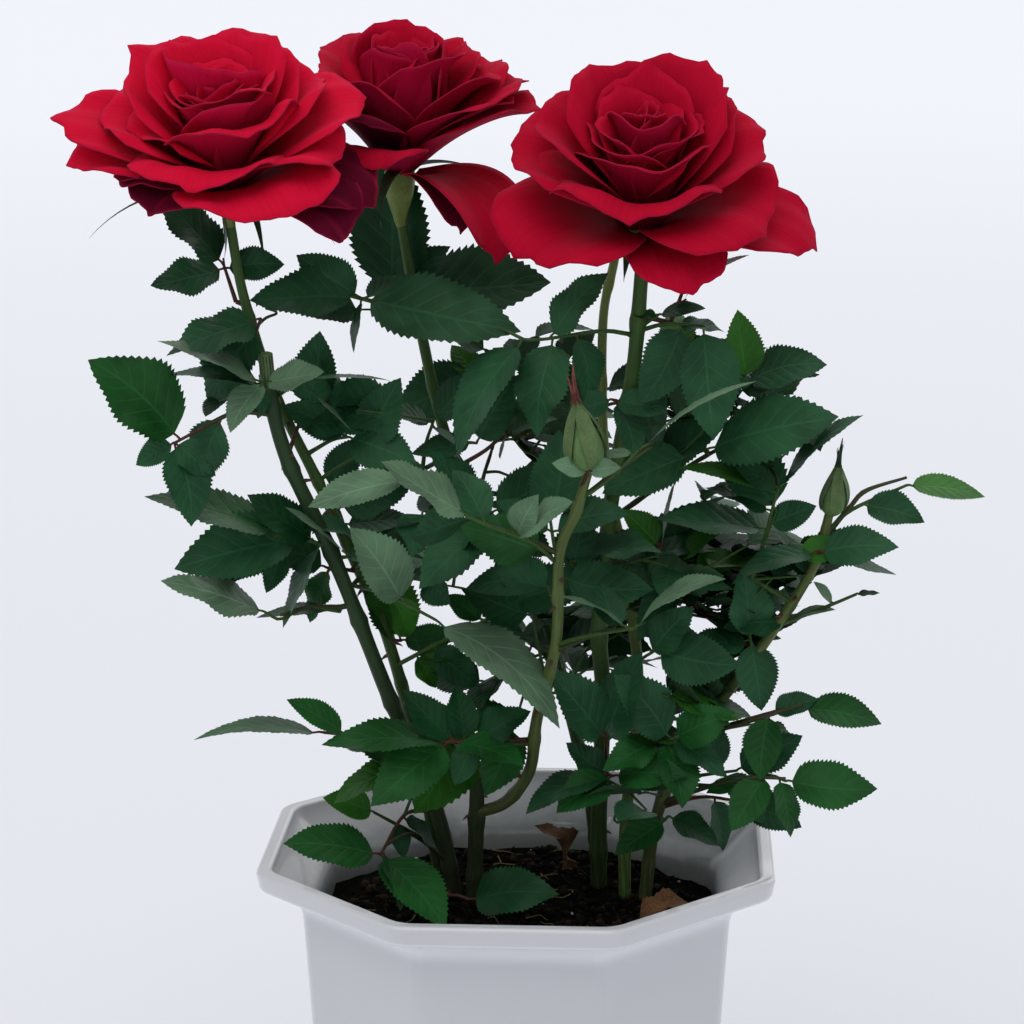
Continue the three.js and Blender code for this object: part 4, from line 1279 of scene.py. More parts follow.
def add_leaflets(gathered, template, feet, tips, faces, halves, finish=0, **bends):
    """Leaflets from their feet to their tips (mm), with their upper sides towards `faces`.

    The bends are one number for each leaflet: arch lifts the middle, fold closes the blade on its midrib,
    wave and phase ruffle its margins, twist turns its tip and sway bends it sideways. Angles are in radians.
    """
    points, shape = template
    along, across, tooth = (points[None, :, k] for k in range(3))

    def bend(name):
        return np.asarray(bends.get(name, np.zeros(len(feet))))[:, None]

    run = tips - feet
    length = np.linalg.norm(run, axis=1)[:, None]
    ahead = run / length
    up = unit(faces - ahead * np.sum(faces * ahead, axis=1, keepdims=True))
    left = np.cross(up, ahead)
    foot_power, tip_power = 0.62, 0.62 * (1 - BROADEST) / BROADEST
    peak = BROADEST**foot_power * (1 - BROADEST) ** tip_power
    outline = np.maximum(along, 0) ** foot_power * np.maximum(1 - along, 0) ** tip_power / peak
    half = halves[:, None]
    out = half * (across * outline + TOOTH * tooth * np.minimum(1, 2.5 * outline))
    fold = bend("fold") * (1 - 0.55 * along)
    lift = np.abs(out) * np.sin(fold)
    lift += bend("arch") * length * 4 * along * (1 - along)
    ruffle = np.sin(math.tau * (1.9 * along + bend("phase")))
    lift += bend("wave") * half * ruffle * across * np.abs(across) * outline
    quilting = np.sin(math.tau * SIDE_VEINS * (along - VEIN_SLANT * np.abs(across)))
    lift += 0.010 * half * quilting * np.abs(across) * outline
    sideways = out * np.cos(fold) + bend("sway") * length * 4 * along * (1 - along)
    turn = bend("twist") * (along - 0.2)
    turned_side = sideways * np.cos(turn) - lift * np.sin(turn)
    turned_lift = sideways * np.sin(turn) + lift * np.cos(turn)
    place = feet[:, None] + ahead[:, None] * (along * length)[..., None]
    place = place + left[:, None] * turned_side[..., None] + up[:, None] * turned_lift[..., None]
    gathered.add(place, shape, finish)


LEAFLET_STALK = 0.07     # the share of a leaflet's length that is its own short stalk


class Leaflet(NamedTuple):
    """A leaflet to be made: whether it is a fine one, its ends (mm), where it faces and how open it lies."""

    fine: bool
    foot: np.ndarray
    tip: np.ndarray
    face: np.ndarray
    shows: float


class Sprays:
    """Every leaflet and stalk of the plant, kept until the pieces are made."""

    def __init__(self, draw):
        self.draw = draw
        self.leaflets = {tone: [] for tone in LEAF_TONES}
        self.middles = []        # of the leaflets, the placed ones first
        self.placed = 0
        self.wood = []           # points all along the limbs and stalks, which later twigs spring from
        self.stalks = Gathered()

    def leaflet(self, joint, tip, face, tone, fine, finish, shows=1.0):
        """One leaflet on its short stalk, from its joint on the spray's stalk to its tip."""
        joint, tip = np.asarray(joint, float), np.asarray(tip, float)
        foot = joint + LEAFLET_STALK * (tip - joint)
        self.leaflets[tone].append(Leaflet(fine, foot, tip, face, shows))
        ease = (joint + foot) / 2 + 0.2 * UP
        self.stalks.tube(np.array((joint, ease, foot + 0.06 * (tip - foot))), (0.36, 0.32, 0.26), 5, finish)

    def build(self):
        draw = self.draw
        fine_template, plain_template = leaf_template(20, 2, 1), leaf_template(7, 1, 2)
        for tone, leaflets in self.leaflets.items():
            gathered = Gathered()
            for fine, template in ((True, fine_template), (False, plain_template)):
                chosen = [leaflet for leaflet in leaflets if leaflet.fine == fine]
                if not chosen:
                    continue
                _, feet, tips, faces, shows = (np.array(part) for part in zip(*chosen))
                count = len(chosen)
                length = np.linalg.norm(tips - feet, axis=1)
                bent = np.minimum(1, 0.25 + shows)
                broad = draw.normal(0.325, 0.02, count) * np.where(shows < 0.2, 0.75, 1.0)
                add_leaflets(
                    gathered, template, feet, tips, faces, length * broad,
                    arch=draw.normal(0.055, 0.035, count), fold=draw.uniform(0.1, 0.5, count) * shows,
                    wave=draw.normal(0.0, 0.11, count) * bent, phase=draw.uniform(0, 1, count),
                    twist=draw.normal(0, 0.18, count) * bent, sway=draw.normal(0, 0.03, count))
            if gathered.count:
                gathered.build(f"leaves_{tone}", finishes(f"leaf_{tone}"), "leaf")
        self.stalks.build("leaf_stalks", finishes("stalk_green", "stalk_red"), "leaf")


def place_sprays(sprays):
    """The listed sprays. Each stalk is joined to the nearest limb, and two stalks in five are red."""
    draw = sprays.draw
    routes = [limb.route for limb in CANES.values()] + list(BOUGHS.values())
    limbs = np.vstack([along_curve(route, 60) for route in routes])
    for stalk, leaflets in PLACED_SPRAYS.values():
        red = int(draw.uniform() < 0.4)
        route = along_curve(stalk, 14)
        sprays.stalks.tube(route, np.linspace(0.60, 0.38, 14), 7, red)
        joined = np.linspace(nearest(limbs, route[0]), route[0] + 0.2 * (route[1] - route[0]), 4)
        sprays.stalks.tube(joined, np.linspace(0.75, 0.60, 4), 7, red)
        sprays.wood.append(route)
        for share, clock, lean, length, shows, *tone in leaflets:
            joint = point_at(route, share)
            clock, lean = math.radians(clock), math.radians(lean)
            level = math.cos(lean)
            way = np.array((math.sin(clock) * level, -math.sin(lean), math.cos(clock) * level))
            tip = joint + length * way
            towards = unit(CAMERA_PLACE - joint)
            beside = unit(np.cross(way, towards))
            face = shows * towards + math.sqrt(1 - shows**2) * (beside if beside[2] > 0 else -beside)
            face = face + draw.normal(0, 0.07 * shows, 3)
            sprays.leaflet(joint, tip, face, tone[0] if tone else "dark", True, red, shows)
            sprays.middles.append((joint + tip) / 2)
    sprays.placed = len(sprays.middles)


def foliage_masses():
    """The middle and the half size, in mm, of each mass of foliage in the CAD model."""
    masses = {}
    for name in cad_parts:
        if name.startswith("foliage_"):
            low, high = (np.array(corner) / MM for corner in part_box(name))
            masses[name] = ((low + high) / 2, (high - low) / 2)
    return masses


def inside(points, mass, margin=1.08):
    """Whether each point is in the mass."""
    middle, half = mass
    return np.sum(((np.atleast_2d(points) - middle) / (half * margin)) ** 2, axis=1) < 1


def in_sky(point):
    """Whether a point is where the sky shows, seen from the camera."""
    eye = np.array(CAMERA_PLACE)
    seen = eye + (point - eye) * eye[1] / (eye[1] - point[1])
    return any(
        ((seen[0] - x) / half_width) ** 2 + ((seen[2] - z) / half_height) ** 2 < 1
        for x, z, half_width, half_height in SKY_GAPS)


LEAFLETS_EACH = 3.5      # how many of the placed leaflets fill the room of one grown spray
LOWEST_FORK = 100        # mm: no twig springs from lower down
CROWDED = 4.5            # mm: two leaflets' middles are no closer
HIDING = 9               # mm: within this of a placed leaflet, seen from the front, none is grown before it
BY_THE_POT = 148         # mm: below this, more of the leaves are mid green

# A grown spray's leaflets: each one's share of the way along, its side, and its size beside the end one's.
GROWN_SPRAY = ((1, 0, 1.0), (0.7, -1, 0.92), (0.7, 1, 0.92), (0.35, -1, 0.74), (0.35, 1, 0.74))


def grow_sprays(sprays, room, masses):
    """Fills each mass: a twig springs from the nearest wood, and ends in a spray of three or five leaflets.

    Later twigs also spring from earlier ones, so that the wood branches on into the mass.
    """
    draw = sprays.draw
    sprays.wood += [along_curve(limb.route, 40) for limb in CANES.values()]
    sprays.wood += [along_curve(route, 14) for route in BOUGHS.values()]
    for mass in masses.values():
        middle, half = mass
        volume = 4 / 3 * math.pi * half.prod() / 1000
        here = sum(inside(spot, mass)[0] for spot in sprays.middles[:sprays.placed])
        count = max(0, round(volume / room - here / LEAFLETS_EACH))
        hubs = middle + unit(draw.normal(size=(count, 3))) * draw.uniform(0.2, 0.85, (count, 1)) * half
        wood = np.vstack(sprays.wood)
        away = [np.linalg.norm(wood - hub, axis=1).min() for hub in hubs]
        for hub in hubs[np.argsort(away)]:
            wood = np.vstack(sprays.wood)
            wood = wood[wood[:, 2] > LOWEST_FORK]
            cost = np.linalg.norm(wood - hub, axis=1) + 0.6 * np.maximum(0, wood[:, 2] - hub[2])
            foot = wood[np.argmin(cost)]
            outward = unit((hub - (0, 8, hub[2] - 12)) * (1, 1, 0.6) + draw.normal(0, 9, 3))
            end = hub + unit(outward + 0.6 * unit(hub - foot)) * draw.uniform(11, 17)
            twig = np.linalg.norm(hub - foot)
            knots = (foot, end) if twig < 7 else (foot, (foot + hub) / 2 + 0.08 * twig * UP, hub, end)
            route = along_curve(knots, 18)
            share_of_twig = max(0, 1 - np.linalg.norm(end - hub) / length_of(route))
            grow_spray(sprays, route, share_of_twig, masses)


def grow_spray(sprays, route, share_of_twig, masses):
    """One twig, whose last part carries a spray.

    A twig that crosses the sky isn't grown, nor is one whose leaflets all lack room. A leaflet lacks room
    close to another one, in front of a placed one, outside the masses or where the sky shows.
    """
    draw = sprays.draw
    if sum(in_sky(point) for point in route[2::3]) > 1:
        return
    outward = unit(route[-1] - route[-5])
    plane = unit(0.8 * UP + 0.5 * outward + draw.normal(0, 0.28, 3))
    aside = unit(np.cross(plane, outward))
    size = draw.uniform(17, 27)
    # Of these weights, the second deals out the darkest tone, the painted shade, at random.
    weights = np.array((0.5, 0.22, 0.5 if route[-1][2] < BY_THE_POT else 0.06, 0.12, 0.02))
    tone = draw.choice(LEAF_TONES, p=weights / sum(weights))
    around = np.array(sprays.middles)
    furthest = 0
    for share, side, scale in GROWN_SPRAY[:draw.choice((3, 5), p=(0.35, 0.65))]:
        share = 1 - (1 - share) * (1 - share_of_twig)
        joint = point_at(route, share)
        spread = math.radians(draw.normal(58, 8)) * side
        way = unit(outward * math.cos(spread) + aside * math.sin(spread) + draw.normal(0, 0.1, 3))
        tip = joint + way * size * scale * draw.uniform(0.88, 1.1)
        centre = (joint + tip) / 2
        off = around - centre
        crowded = np.linalg.norm(off, axis=1) < CROWDED
        placed = off[:sprays.placed]
        hiding = (np.hypot(placed[:, 0], placed[:, 2]) < HIDING) & (placed[:, 1] > -2)
        outside = not any(inside(tip, mass)[0] and inside(centre, mass)[0] for mass in masses.values())
        if crowded.any() or hiding.any() or outside or in_sky(centre) or in_sky(tip):
            continue
        sprays.leaflet(joint, tip, plane + draw.normal(0, 0.2, 3), tone, False, 0)
        sprays.middles.append(centre)
        furthest = max(furthest, share)
    if furthest:
        grown = np.array([point_at(route, share) for share in np.linspace(0, furthest, 14)])
        sprays.stalks.tube(grown, np.linspace(0.48, 0.26, 14), 5, 0)
        sprays.wood.append(grown[3:])


class ROSE_OT_leaves(bpy.types.Operator):
    """Make the sprays of leaves: the placed ones, and those that a seeded rule grows into each mass"""

    bl_idname = "rose.leaves"
    bl_label = "Leaves"

    def execute(self, context):
        plant = context.scene.rose_plant
        sprays = Sprays(np.random.default_rng(plant.seed))
        masses = foliage_masses()
        place_sprays(sprays)
        grow_sprays(sprays, plant.leaf_room, masses)
        sprays.build()
        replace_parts(bpy.data.objects["leaves_dark"], *masses)
        return {"FINISHED"}


# -------------------- blooms


class Petal(NamedTuple):
    """A petal's size in mm, and how it lies, in degrees."""

    length: float
    half_width: float
    foot_lean: float       # how far it leans out from the bloom's axis at its foot
    edge_lean: float       # and at its edge
    cup: float = 1.0       # how far it wraps round the axis: 1 follows a circle about it, 0 is flat
    roll: float = 40       # how far its margins curl back
    point: float = 0.05    # how far its tip stands out, as a share of its length
    fading: bool = False   # whether the petal is darkened to purple: painted shade for a petal that hangs in shadow


class Bloom(NamedTuple):
    """An open bloom: where its petals spring from (mm), how far it tips to the front and to the right.

    The heart is made of rings of petals: how many, the direction of the first one, and the petal. The outer
    petals are placed one by one. Angles are in degrees. A direction is 0 to the right and 90 to the back.
    """

    foot: tuple
    tilt: float
    lean: float
    heart: tuple
    outer: tuple
    cane: str
    age: str
    seed: int


BLOOMS = {
    "left": Bloom((-71.5, 0, 276), 24, -3, (
        (3, 20, Petal(29, 6, 2, -8, 1.2, 25, 0.02)),
        (4, 60, Petal(30, 9, 6, 2, 1.1, 30, 0.04)),
        (4, 30, Petal(32, 12, 10, 14, 1.0, 45, 0.04)),
    ), (
        (150, Petal(38, 17.5, 23, 46, 0.8, 25, 0.10)), (128, Petal(37, 16.5, 14, 28, 0.9, 25)),
        (84, Petal(37, 17.5, 16, 33, 0.8, 25)), (50, Petal(37, 17.5, 24, 48, 0.8, 25)),
        (26, Petal(35, 15.5, 30, 62, 0.8, 30, 0.08)), (175, Petal(35, 16.5, 33, 66, 0.7, 35)),
        (200, Petal(30, 11.5, 26, 50, 0.9, 60)), (268, Petal(34, 20, -3, -1, 1.0, 25)),
        (252, Petal(32, 18.5, 10, 18, 0.9, 50)), (330, Petal(33.5, 16.5, 14, 28, 0.9, 30)),
        (297, Petal(32.5, 17.5, 20, 42, 0.8, 60)), (351, Petal(33.5, 17.5, 42, 83, 0.7, 60)),
        (264, Petal(31.5, 18.5, 36, 72, 0.7, 50, 0.09)), (16, Petal(38.5, 17.5, 41, 80, 0.6, 30, 0.08)),
        (298, Petal(35, 19.5, 50, 100, 0.5, 40)), (332, Petal(37, 13, 64, 128, 0.5, 30, fading=True)),
        (345, Petal(37, 14, 62, 126, 0.5, 30, fading=True)),
        (205, Petal(29, 9, 40, 84, 0.6, 40, fading=True)),
        (234, Petal(27, 11, 48, 100, 0.6, 30, fading=True)),
    ), "left_bloom", "old", 5),
    "centre": Bloom((-32, 30, 278), 8, 3, (
        (3, 20, Petal(31, 7, 1, -8, 1.1, 20, 0.02)),
        (4, 70, Petal(32, 10, 4, 2, 1.0, 30)),
        (4, 30, Petal(33, 13, 7, 10, 1.0, 35)),
    ), (
        (78, Petal(35.5, 17.5, 6, 10, 1.0, 20)), (129, Petal(35.5, 17.5, 16, 32, 0.9, 20)),
        (51, Petal(35.5, 14.5, 21, 43, 0.8, 20)), (291, Petal(30.5, 15.5, 6, 14, 1.0, 20)),
        (213, Petal(32.5, 15.5, 25, 51, 0.8, 30)), (320, Petal(33.5, 15.5, 14, 26, 0.9, 30)),
        (3, Petal(33.5, 15.5, 26, 53, 0.8, 20)), (159, Petal(35, 16.5, 25, 51, 0.8, 25, 0.08)),
        (34, Petal(36.5, 16.5, 32, 56, 0.7, 20, 0.06)), (8, Petal(36.5, 19, 38, 62, 0.6, 12, 0.08)),
        (340, Petal(34, 17, 38, 64, 0.7, 25, 0.05)), (351, Petal(36, 17, 45, 73, 0.6, 12, 0.06)),
        (226, Petal(32, 15.5, 36, 70, 0.7, 50, 0.08, True)), (252, Petal(31.5, 14.5, 50, 101, 0.6, 40)),
    ), "centre", "young", 8),
    "right": Bloom((30, 6, 267), 27, 0, (
        (3, 40, Petal(31, 5.5, 2, -8, 1.2, 25, 0.02)),
        (4, 10, Petal(32, 8.5, 6, 2, 1.1, 35, 0.04)),
        (5, 55, Petal(33, 11, 10, 14, 1.0, 45, 0.04)),
    ), (
        (90, Petal(38, 13.5, 10, 22, 0.9, 15, 0.09)), (150, Petal(31.5, 13.5, 10, 20, 1.0, 40)),
        (0, Petal(31.5, 11.5, 17, 34, 0.9, 60)), (218, Petal(31.5, 14.5, 14, 28, 1.0, 20)),
        (325, Petal(31.5, 14.5, 12, 24, 1.0, 20)), (267, Petal(31.5, 18, 18, 37, 0.9, 30)),
        (126, Petal(40, 17.5, 15, 30, 0.8, 25, 0.08)), (62, Petal(39, 14.5, 24, 48, 0.8, 20, 0.08)),
        (40, Petal(37, 16.5, 26, 52, 0.8, 25, 0.10)), (50, Petal(41, 17, 19, 37, 0.8, 18, 0.08)),
        (166, Petal(38, 17.5, 25, 48, 0.8, 30)), (14, Petal(36, 17.5, 34, 70, 0.7, 35)),
        (180, Petal(33.5, 14, 33, 67, 0.7, 60)), (174, Petal(37, 19.5, 36, 72, 0.7, 30)),
        (264, Petal(32.5, 21, 30, 61, 0.7, 60, 0.08)), (330, Petal(35, 21, 47, 94, 0.5, 40, 0.09)),
        (213, Petal(35, 21, 56, 112, 0.5, 40, 0.09)), (291, Petal(32, 12, 60, 118, 0.5, 20)),
    ), "right_bloom", "young", 3),
}

# The petals that stand away from their bloom: the bloom they spring from, and each direction and petal.
LOOSE_PETALS = {
    "petals_left_drooping": ("left", (
        (179, Petal(42, 14.5, 41, 76, 0.6, 20, 0.08)),
        (192, Petal(37, 13, 44, 88, 0.5, 30, 0.10)),
        (212, Petal(28, 10, 42, 84, 0.6, 40, fading=True)),
    )),
    "petal_centre_hanging": ("centre", (
        (324, Petal(39, 13, 76, 178, 0.8, 15, 0.10)),
        (316, Petal(26, 7.5, 76, 172, 0.8, 15, 0.10, True)),
    )),
    "petal_right_side": ("right", (
        (351, Petal(40.5, 14.5, 64, 131, 0.5, 20, 0.10)),
    )),
}

PETAL_ROWS, PETAL_LANES = 20, 10        # lanes on each side of its middle
PETAL_SHAPE = grid_shape(PETAL_ROWS, 2 * PETAL_LANES + 1)
HEART_TUCK = 0.25                       # how far a heart petal's margins lie over and under the next ones


def petal_points(petal, draw, foot_radius, foot_height, tuck=0.0):
    """A petal that grows from near the origin up along +Z and out along +X, as rows from foot to edge.

    With a tuck one margin lies further out than the other, so that it covers its neighbour's.
    """
    lanes = np.linspace(0, 1, PETAL_LANES + 1)
    share = np.concatenate((lanes[:0:-1], -lanes))[None, :]
    rise = np.linspace(0, 1, PETAL_ROWS)[:, None]
    phase, skew = draw.uniform(0, 1, 4), draw.normal(0, 0.05)

    # Its edge is a flat arch, a little askew, with a tip and two fine waves.
    margin = 0.68 + 0.32 * np.sqrt(1 - (0.97 * share) ** 2) + skew * share
    margin = margin + petal.point * np.exp(-np.abs(share - 2 * skew) / 0.13)
    margin = margin + 0.014 * np.sin(math.tau * (1.1 * share + phase[0]))
    margin = margin + 0.006 * np.sin(math.tau * (3.1 * share + phase[1]))
    way_up = rise * margin
    half = petal.half_width * (0.26 + 0.74 * np.sin(math.pi / 2 * np.minimum(1, rise / 0.75)) ** 1.1)

    # Its middle line leans out more and more, and rolls back near the edge.
    foot, edge, roll = (math.radians(angle) for angle in (petal.foot_lean, petal.edge_lean, petal.roll))
    fine = np.linspace(0, 1.3, 132)
    lean = foot + (edge - foot) * np.minimum(fine, 1.1) ** 1.6 + roll * smooth_step(fine, 0.70, 1.08)
    pace = petal.length * (fine[1] - fine[0])
    middle = (lean[1:] + lean[:-1]) / 2
    out = foot_radius + np.concatenate(([0], np.cumsum(np.sin(middle)))) * pace
    up = foot_height + np.concatenate(([0], np.cumsum(np.cos(middle)))) * pace
    lean_here, out_here, up_here = (np.interp(way_up, fine, values) for values in (lean, out, up))

    # Across, it wraps round the bloom's axis, and each margin curls back by its own amount.
    wrap = np.maximum(np.maximum(out_here[:, PETAL_LANES:PETAL_LANES + 1], 2.5) / petal.cup, 0.62 * half)
    asides, lifts = [], []
    for gain in draw.uniform(0.5, 1.4, 2):
        curl = gain * roll * smooth_step(rise, 0.3, 0.9) * np.maximum(0, lanes / 0.45 - 0.55 / 0.45) ** 1.6
        turn = lanes * half / wrap - curl
        turn = (turn[:, 1:] + turn[:, :-1]) / 2
        asides.append(np.cumsum(np.cos(turn), axis=1) * half / PETAL_LANES)
        lifts.append(np.cumsum(np.sin(turn), axis=1) * half / PETAL_LANES)
    ridge = np.zeros((PETAL_ROWS, 1))
    aside = np.hstack((asides[0][:, ::-1], ridge, -asides[1]))
    lift = np.hstack((lifts[0][:, ::-1], ridge, lifts[1]))
    ruffle = np.sin(math.tau * (0.8 * share + phase[2])) + 0.3 * np.sin(math.tau * (1.9 * share + phase[3]))
    lift = lift + 0.05 * petal.half_width * ruffle * smooth_step(rise, 0.3, 1.0)
    out_here = out_here + tuck * aside * smooth_step(rise, 0.1, 0.5) - np.cos(lean_here) * lift
    return np.stack((out_here, aside, up_here + np.sin(lean_here) * lift), axis=2).reshape(-1, 3)


def bloom_turned(points, bloom):
    """Points about a bloom's own axis, tipped and moved to where the bloom is."""
    return spin(spin(points, (1, 0, 0), bloom.tilt), (0, 1, 0), bloom.lean) + bloom.foot


def add_petal(gathered, bloom, petal, direction, draw, ring, tuck=0.0):
    """One petal of the bloom. Its ring, counted from the heart, sets how far out and down it begins."""
    sheet = petal_points(petal, draw, 0.6 + 0.55 * ring, 1.2 - 0.2 * ring, tuck)
    gathered.add(bloom_turned(spin(sheet, UP, direction), bloom), PETAL_SHAPE, 3 if petal.fading else 0)


def varied(petal, draw):
    """The petal a little longer or shorter, and more or less open."""
    return petal._replace(
        length=petal.length * draw.normal(1, 0.05), half_width=petal.half_width * draw.normal(1, 0.08),
        foot_lean=petal.foot_lean + draw.normal(0, 3), edge_lean=petal.edge_lean + draw.normal(0, 6))


def finish_petals(gathered, name, age, thickness, node):
    """The gathered sheets as petals with a face, an underside and a rim, which stand for this CAD node."""
    fresh = f"petal_face_{age}", f"petal_under_{age}", "petal_rim"
    fading = "petal_face_fading", "petal_under_fading", "petal_rim_fading"
    piece = gathered.build(name, finishes(*fresh, *fading), "petal")
    apply_modifier(
        piece, "SOLIDIFY", thickness=thickness, offset=-1.0, material_offset=1, material_offset_rim=2)
    piece.data.shade_smooth()
    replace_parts(piece, node)


class ROSE_OT_blooms(bpy.types.Operator):
    """Make the three open blooms, petal by petal, and the petals that hang away from them"""

    bl_idname = "rose.blooms"
    bl_label = "Blooms"

    def execute(self, context):
        thickness = context.scene.rose_bloom.thickness
        for name, bloom in BLOOMS.items():
            draw = np.random.default_rng(bloom.seed)
            petals = Gathered()
            for ring, (count, turn, petal) in enumerate(bloom.heart):
                for k in range(count):
                    direction = turn + 360 * k / count
                    add_petal(petals, bloom, varied(petal, draw), direction, draw, ring, HEART_TUCK)
            for k, (direction, petal) in enumerate(bloom.outer):
                add_petal(petals, bloom, petal, direction, draw, 2 + 3 * k / len(bloom.outer))
            finish_petals(petals, f"bloom_{name}_petals", bloom.age, thickness, f"bloom_{name}")
        for name, (owner, loose_petals) in LOOSE_PETALS.items():
            draw = np.random.default_rng(len(name))
            loose = Gathered()
            for direction, petal in loose_petals:
                add_petal(loose, BLOOMS[owner], petal, direction, draw, 6)
            finish_petals(loose, f"{name}_sheet", BLOOMS[owner].age, thickness, name)
        return {"FINISHED"}


# -------------------- calyxes and buds


def ribbed(radii, sides):
    """Radii for each ring and side, with a shallow rib for each sepal."""
    return radii[:, None] * (1 + 0.05 * np.cos(5 * turns_round(sides)))[None, :]


# Each bloom's sepals: the direction, the length (mm), the lean at the tip, and the half width (mm).
SEPALS = {
    "left": (
        (197, 35, 128, 0.9), (150, 14, 130, 1.0), (-24, 30, 142, 1.0), (-62, 23, 152, 0.9),
        (60, 16, 130, 1.0),
    ),
    "centre": (
        (8, 16, 100, 1.2), (80, 15, 120, 1.2), (152, 14, 120, 1.2), (224, 16, 150, 1.2),
        (-98, 20, 180, 1.2),
    ),
    "right": (
        (250, 16, 150, 1.1), (-60, 14, 160, 1.1), (20, 15, 130, 1.1), (90, 15, 130, 1.1),
        (165, 15, 140, 1.1),
    ),
}
CALYX_HEIGHT = {"left": 7, "centre": 16, "right": 7}        # mm
CANE_AT_BLOOM = 1.25     # the radius of a cane where its bloom's hip begins
HIP_SWELLING = 2.6       # how much wider the hip is


def add_hip(calyx, bloom, height):
    """The swelling under a bloom, which carries on from its cane and ends where its petals spring from."""
    top = bloom_turned(np.array((0.0, 0.0, 1.0)), bloom)
    cane = np.array(CANES[bloom.cane].route, float)
    foot = cane[-1]
    way = unit(cane[-1] - cane[-2])
    route = along_curve((foot - 2 * way, foot, foot + 0.5 * (top - foot) + 0.6 * way, top), 18)
    along = np.linspace(0, 1, 18)
    from_top = (1 - along) * length_of(route) / height
    swelling = HIP_SWELLING * smooth_step(1 - from_top, 0.0, 0.75)
    calyx.tube(route, ribbed(CANE_AT_BLOOM + swelling - 0.3 * smooth_step(along, 0.93, 1.0), 20), 20)


def add_sepal(calyx, bloom, direction, length, lean, half):
    """A sepal that leaves the hip at 60 degrees from the bloom's axis and bends to its lean at the tip."""
    shares = np.linspace(0, 1, 12)
    angle = np.radians(60 + (lean - 60) * shares**0.8)
    out = 2.8 + np.concatenate(([0], np.cumsum(np.sin(angle[1:])))) * length / 11
    up = 0.5 + np.concatenate(([0], np.cumsum(np.cos(angle[1:])))) * length / 11
    spine = np.stack((out, 0 * out, up), axis=1)
    spine[:, 1] += 1.2 * np.sin(3 * shares + direction)
    spine = bloom_turned(spin(spine, UP, direction), bloom)
    narrowing = half * 1.5 * (1 - shares) ** 0.75
    widths = narrowing * (0.75 + 0.5 * np.sin(math.pi * shares**0.6)) + 0.08
    calyx.ribbon(spine, widths, UP, 0.5, 1)


class ROSE_OT_calyxes(bpy.types.Operator):
    """Make the hip under each bloom and its five curled sepals"""

    bl_idname = "rose.calyxes"
    bl_label = "Calyxes"

    def execute(self, context):
        for name, bloom in BLOOMS.items():
            calyx = Gathered()
            add_hip(calyx, bloom, CALYX_HEIGHT[name])
            for sepal in SEPALS[name]:
                add_sepal(calyx, bloom, *sepal)
            piece = calyx.build(f"calyx_{name}_sepals", finishes("calyx", "sepal"), "bud")
            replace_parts(piece, f"calyx_{name}")
        return {"FINISHED"}


class Bud(NamedTuple):
    """A closed bud: its ends and radius (mm), how far its sepals' tips reach past it, and their finish."""

    foot: tuple
    tip: tuple
    radius: float
    reach: float
    beard: str


BUDS = {
    "front": Bud((17.6, -32, 214.6), (14.6, -33, 232), 4.8, 8.0, "bud_tip"),
    "right": Bud((77.5, -3, 198.4), (78.8, -4, 211), 3.3, 6.5, "sepal"),
}


def add_bud_sepal(made, bud, route, radii, out, draw):
    """A sepal that lies on the bud's side, looking out, and reaches past its tip as a thin beard."""
    rows = np.linspace(0.10, 0.94, 18)
    spine = np.array([point_at(route, row) for row in rows])
    spine += out * np.interp(rows, np.linspace(0, 1, len(radii)), radii)[:, None] * 1.04
    along = np.linspace(0, 1, len(spine))
    widths = bud.radius * 0.40 * np.sin(math.pi * (0.12 + 0.76 * along)) ** 1.2 + 0.15
    made.ribbon(spine, widths, out, 0.10, 1)
    reach = bud.reach * draw.uniform(0.5, 1.15)
    flare = out * draw.uniform(0.05, 0.25) * reach
    end = spine[-1] + reach * unit(np.subtract(bud.tip, bud.foot))
    beard = along_curve((spine[-2], spine[-1], (spine[-1] + end) / 2 + 0.2 * flare, end + flare), 8)
    made.ribbon(beard, np.linspace(0.22 * bud.radius, 0.10, 8), out, 0.3, 2)


class ROSE_OT_buds(bpy.types.Operator):
    """Make the two closed buds, with their sepals' long tips"""

    bl_idname = "rose.buds"
    bl_label = "Buds"

    def execute(self, context):
        draw = np.random.default_rng(context.scene.rose_plant.seed + 5)
        for name, bud in BUDS.items():
            made = Gathered()
            foot, tip = np.array(bud.foot, float), np.array(bud.tip, float)
            route = along_curve(
                (foot - 1.5 * unit(tip - foot), foot, (foot + tip) / 2 + (0.4, 0, 0), tip), 34)
            share = np.linspace(0, 1, 34)
            swelling, neck = 2.9 * np.sqrt(share) * (1 - share) ** 1.3, 0.24 * (1 - share) + 0.03
            radii = bud.radius * np.maximum(swelling, neck)
            made.tube(route, ribbed(radii, 30), 30)
            side, up = carried_frames(route)
            for k in range(5):
                turn = math.tau * (k + 0.5) / 5
                out = side[0] * math.cos(turn) + up[0] * math.sin(turn)
                add_bud_sepal(made, bud, route, radii, out, draw)
            piece = made.build(f"bud_{name}_sepals", finishes("bud_green", "sepal_pale", bud.beard), "bud")
            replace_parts(piece, f"bud_{name}")
        return {"FINISHED"}


# -------------------- stage


# Each lamp: the way it shines, its strength, and how many degrees wide it is.
LAMPS = {"key": ((0.22, 0.35, -0.9), 1.0, 60), "back": ((-0.3, -0.75, -0.7), 0.6, 60)}


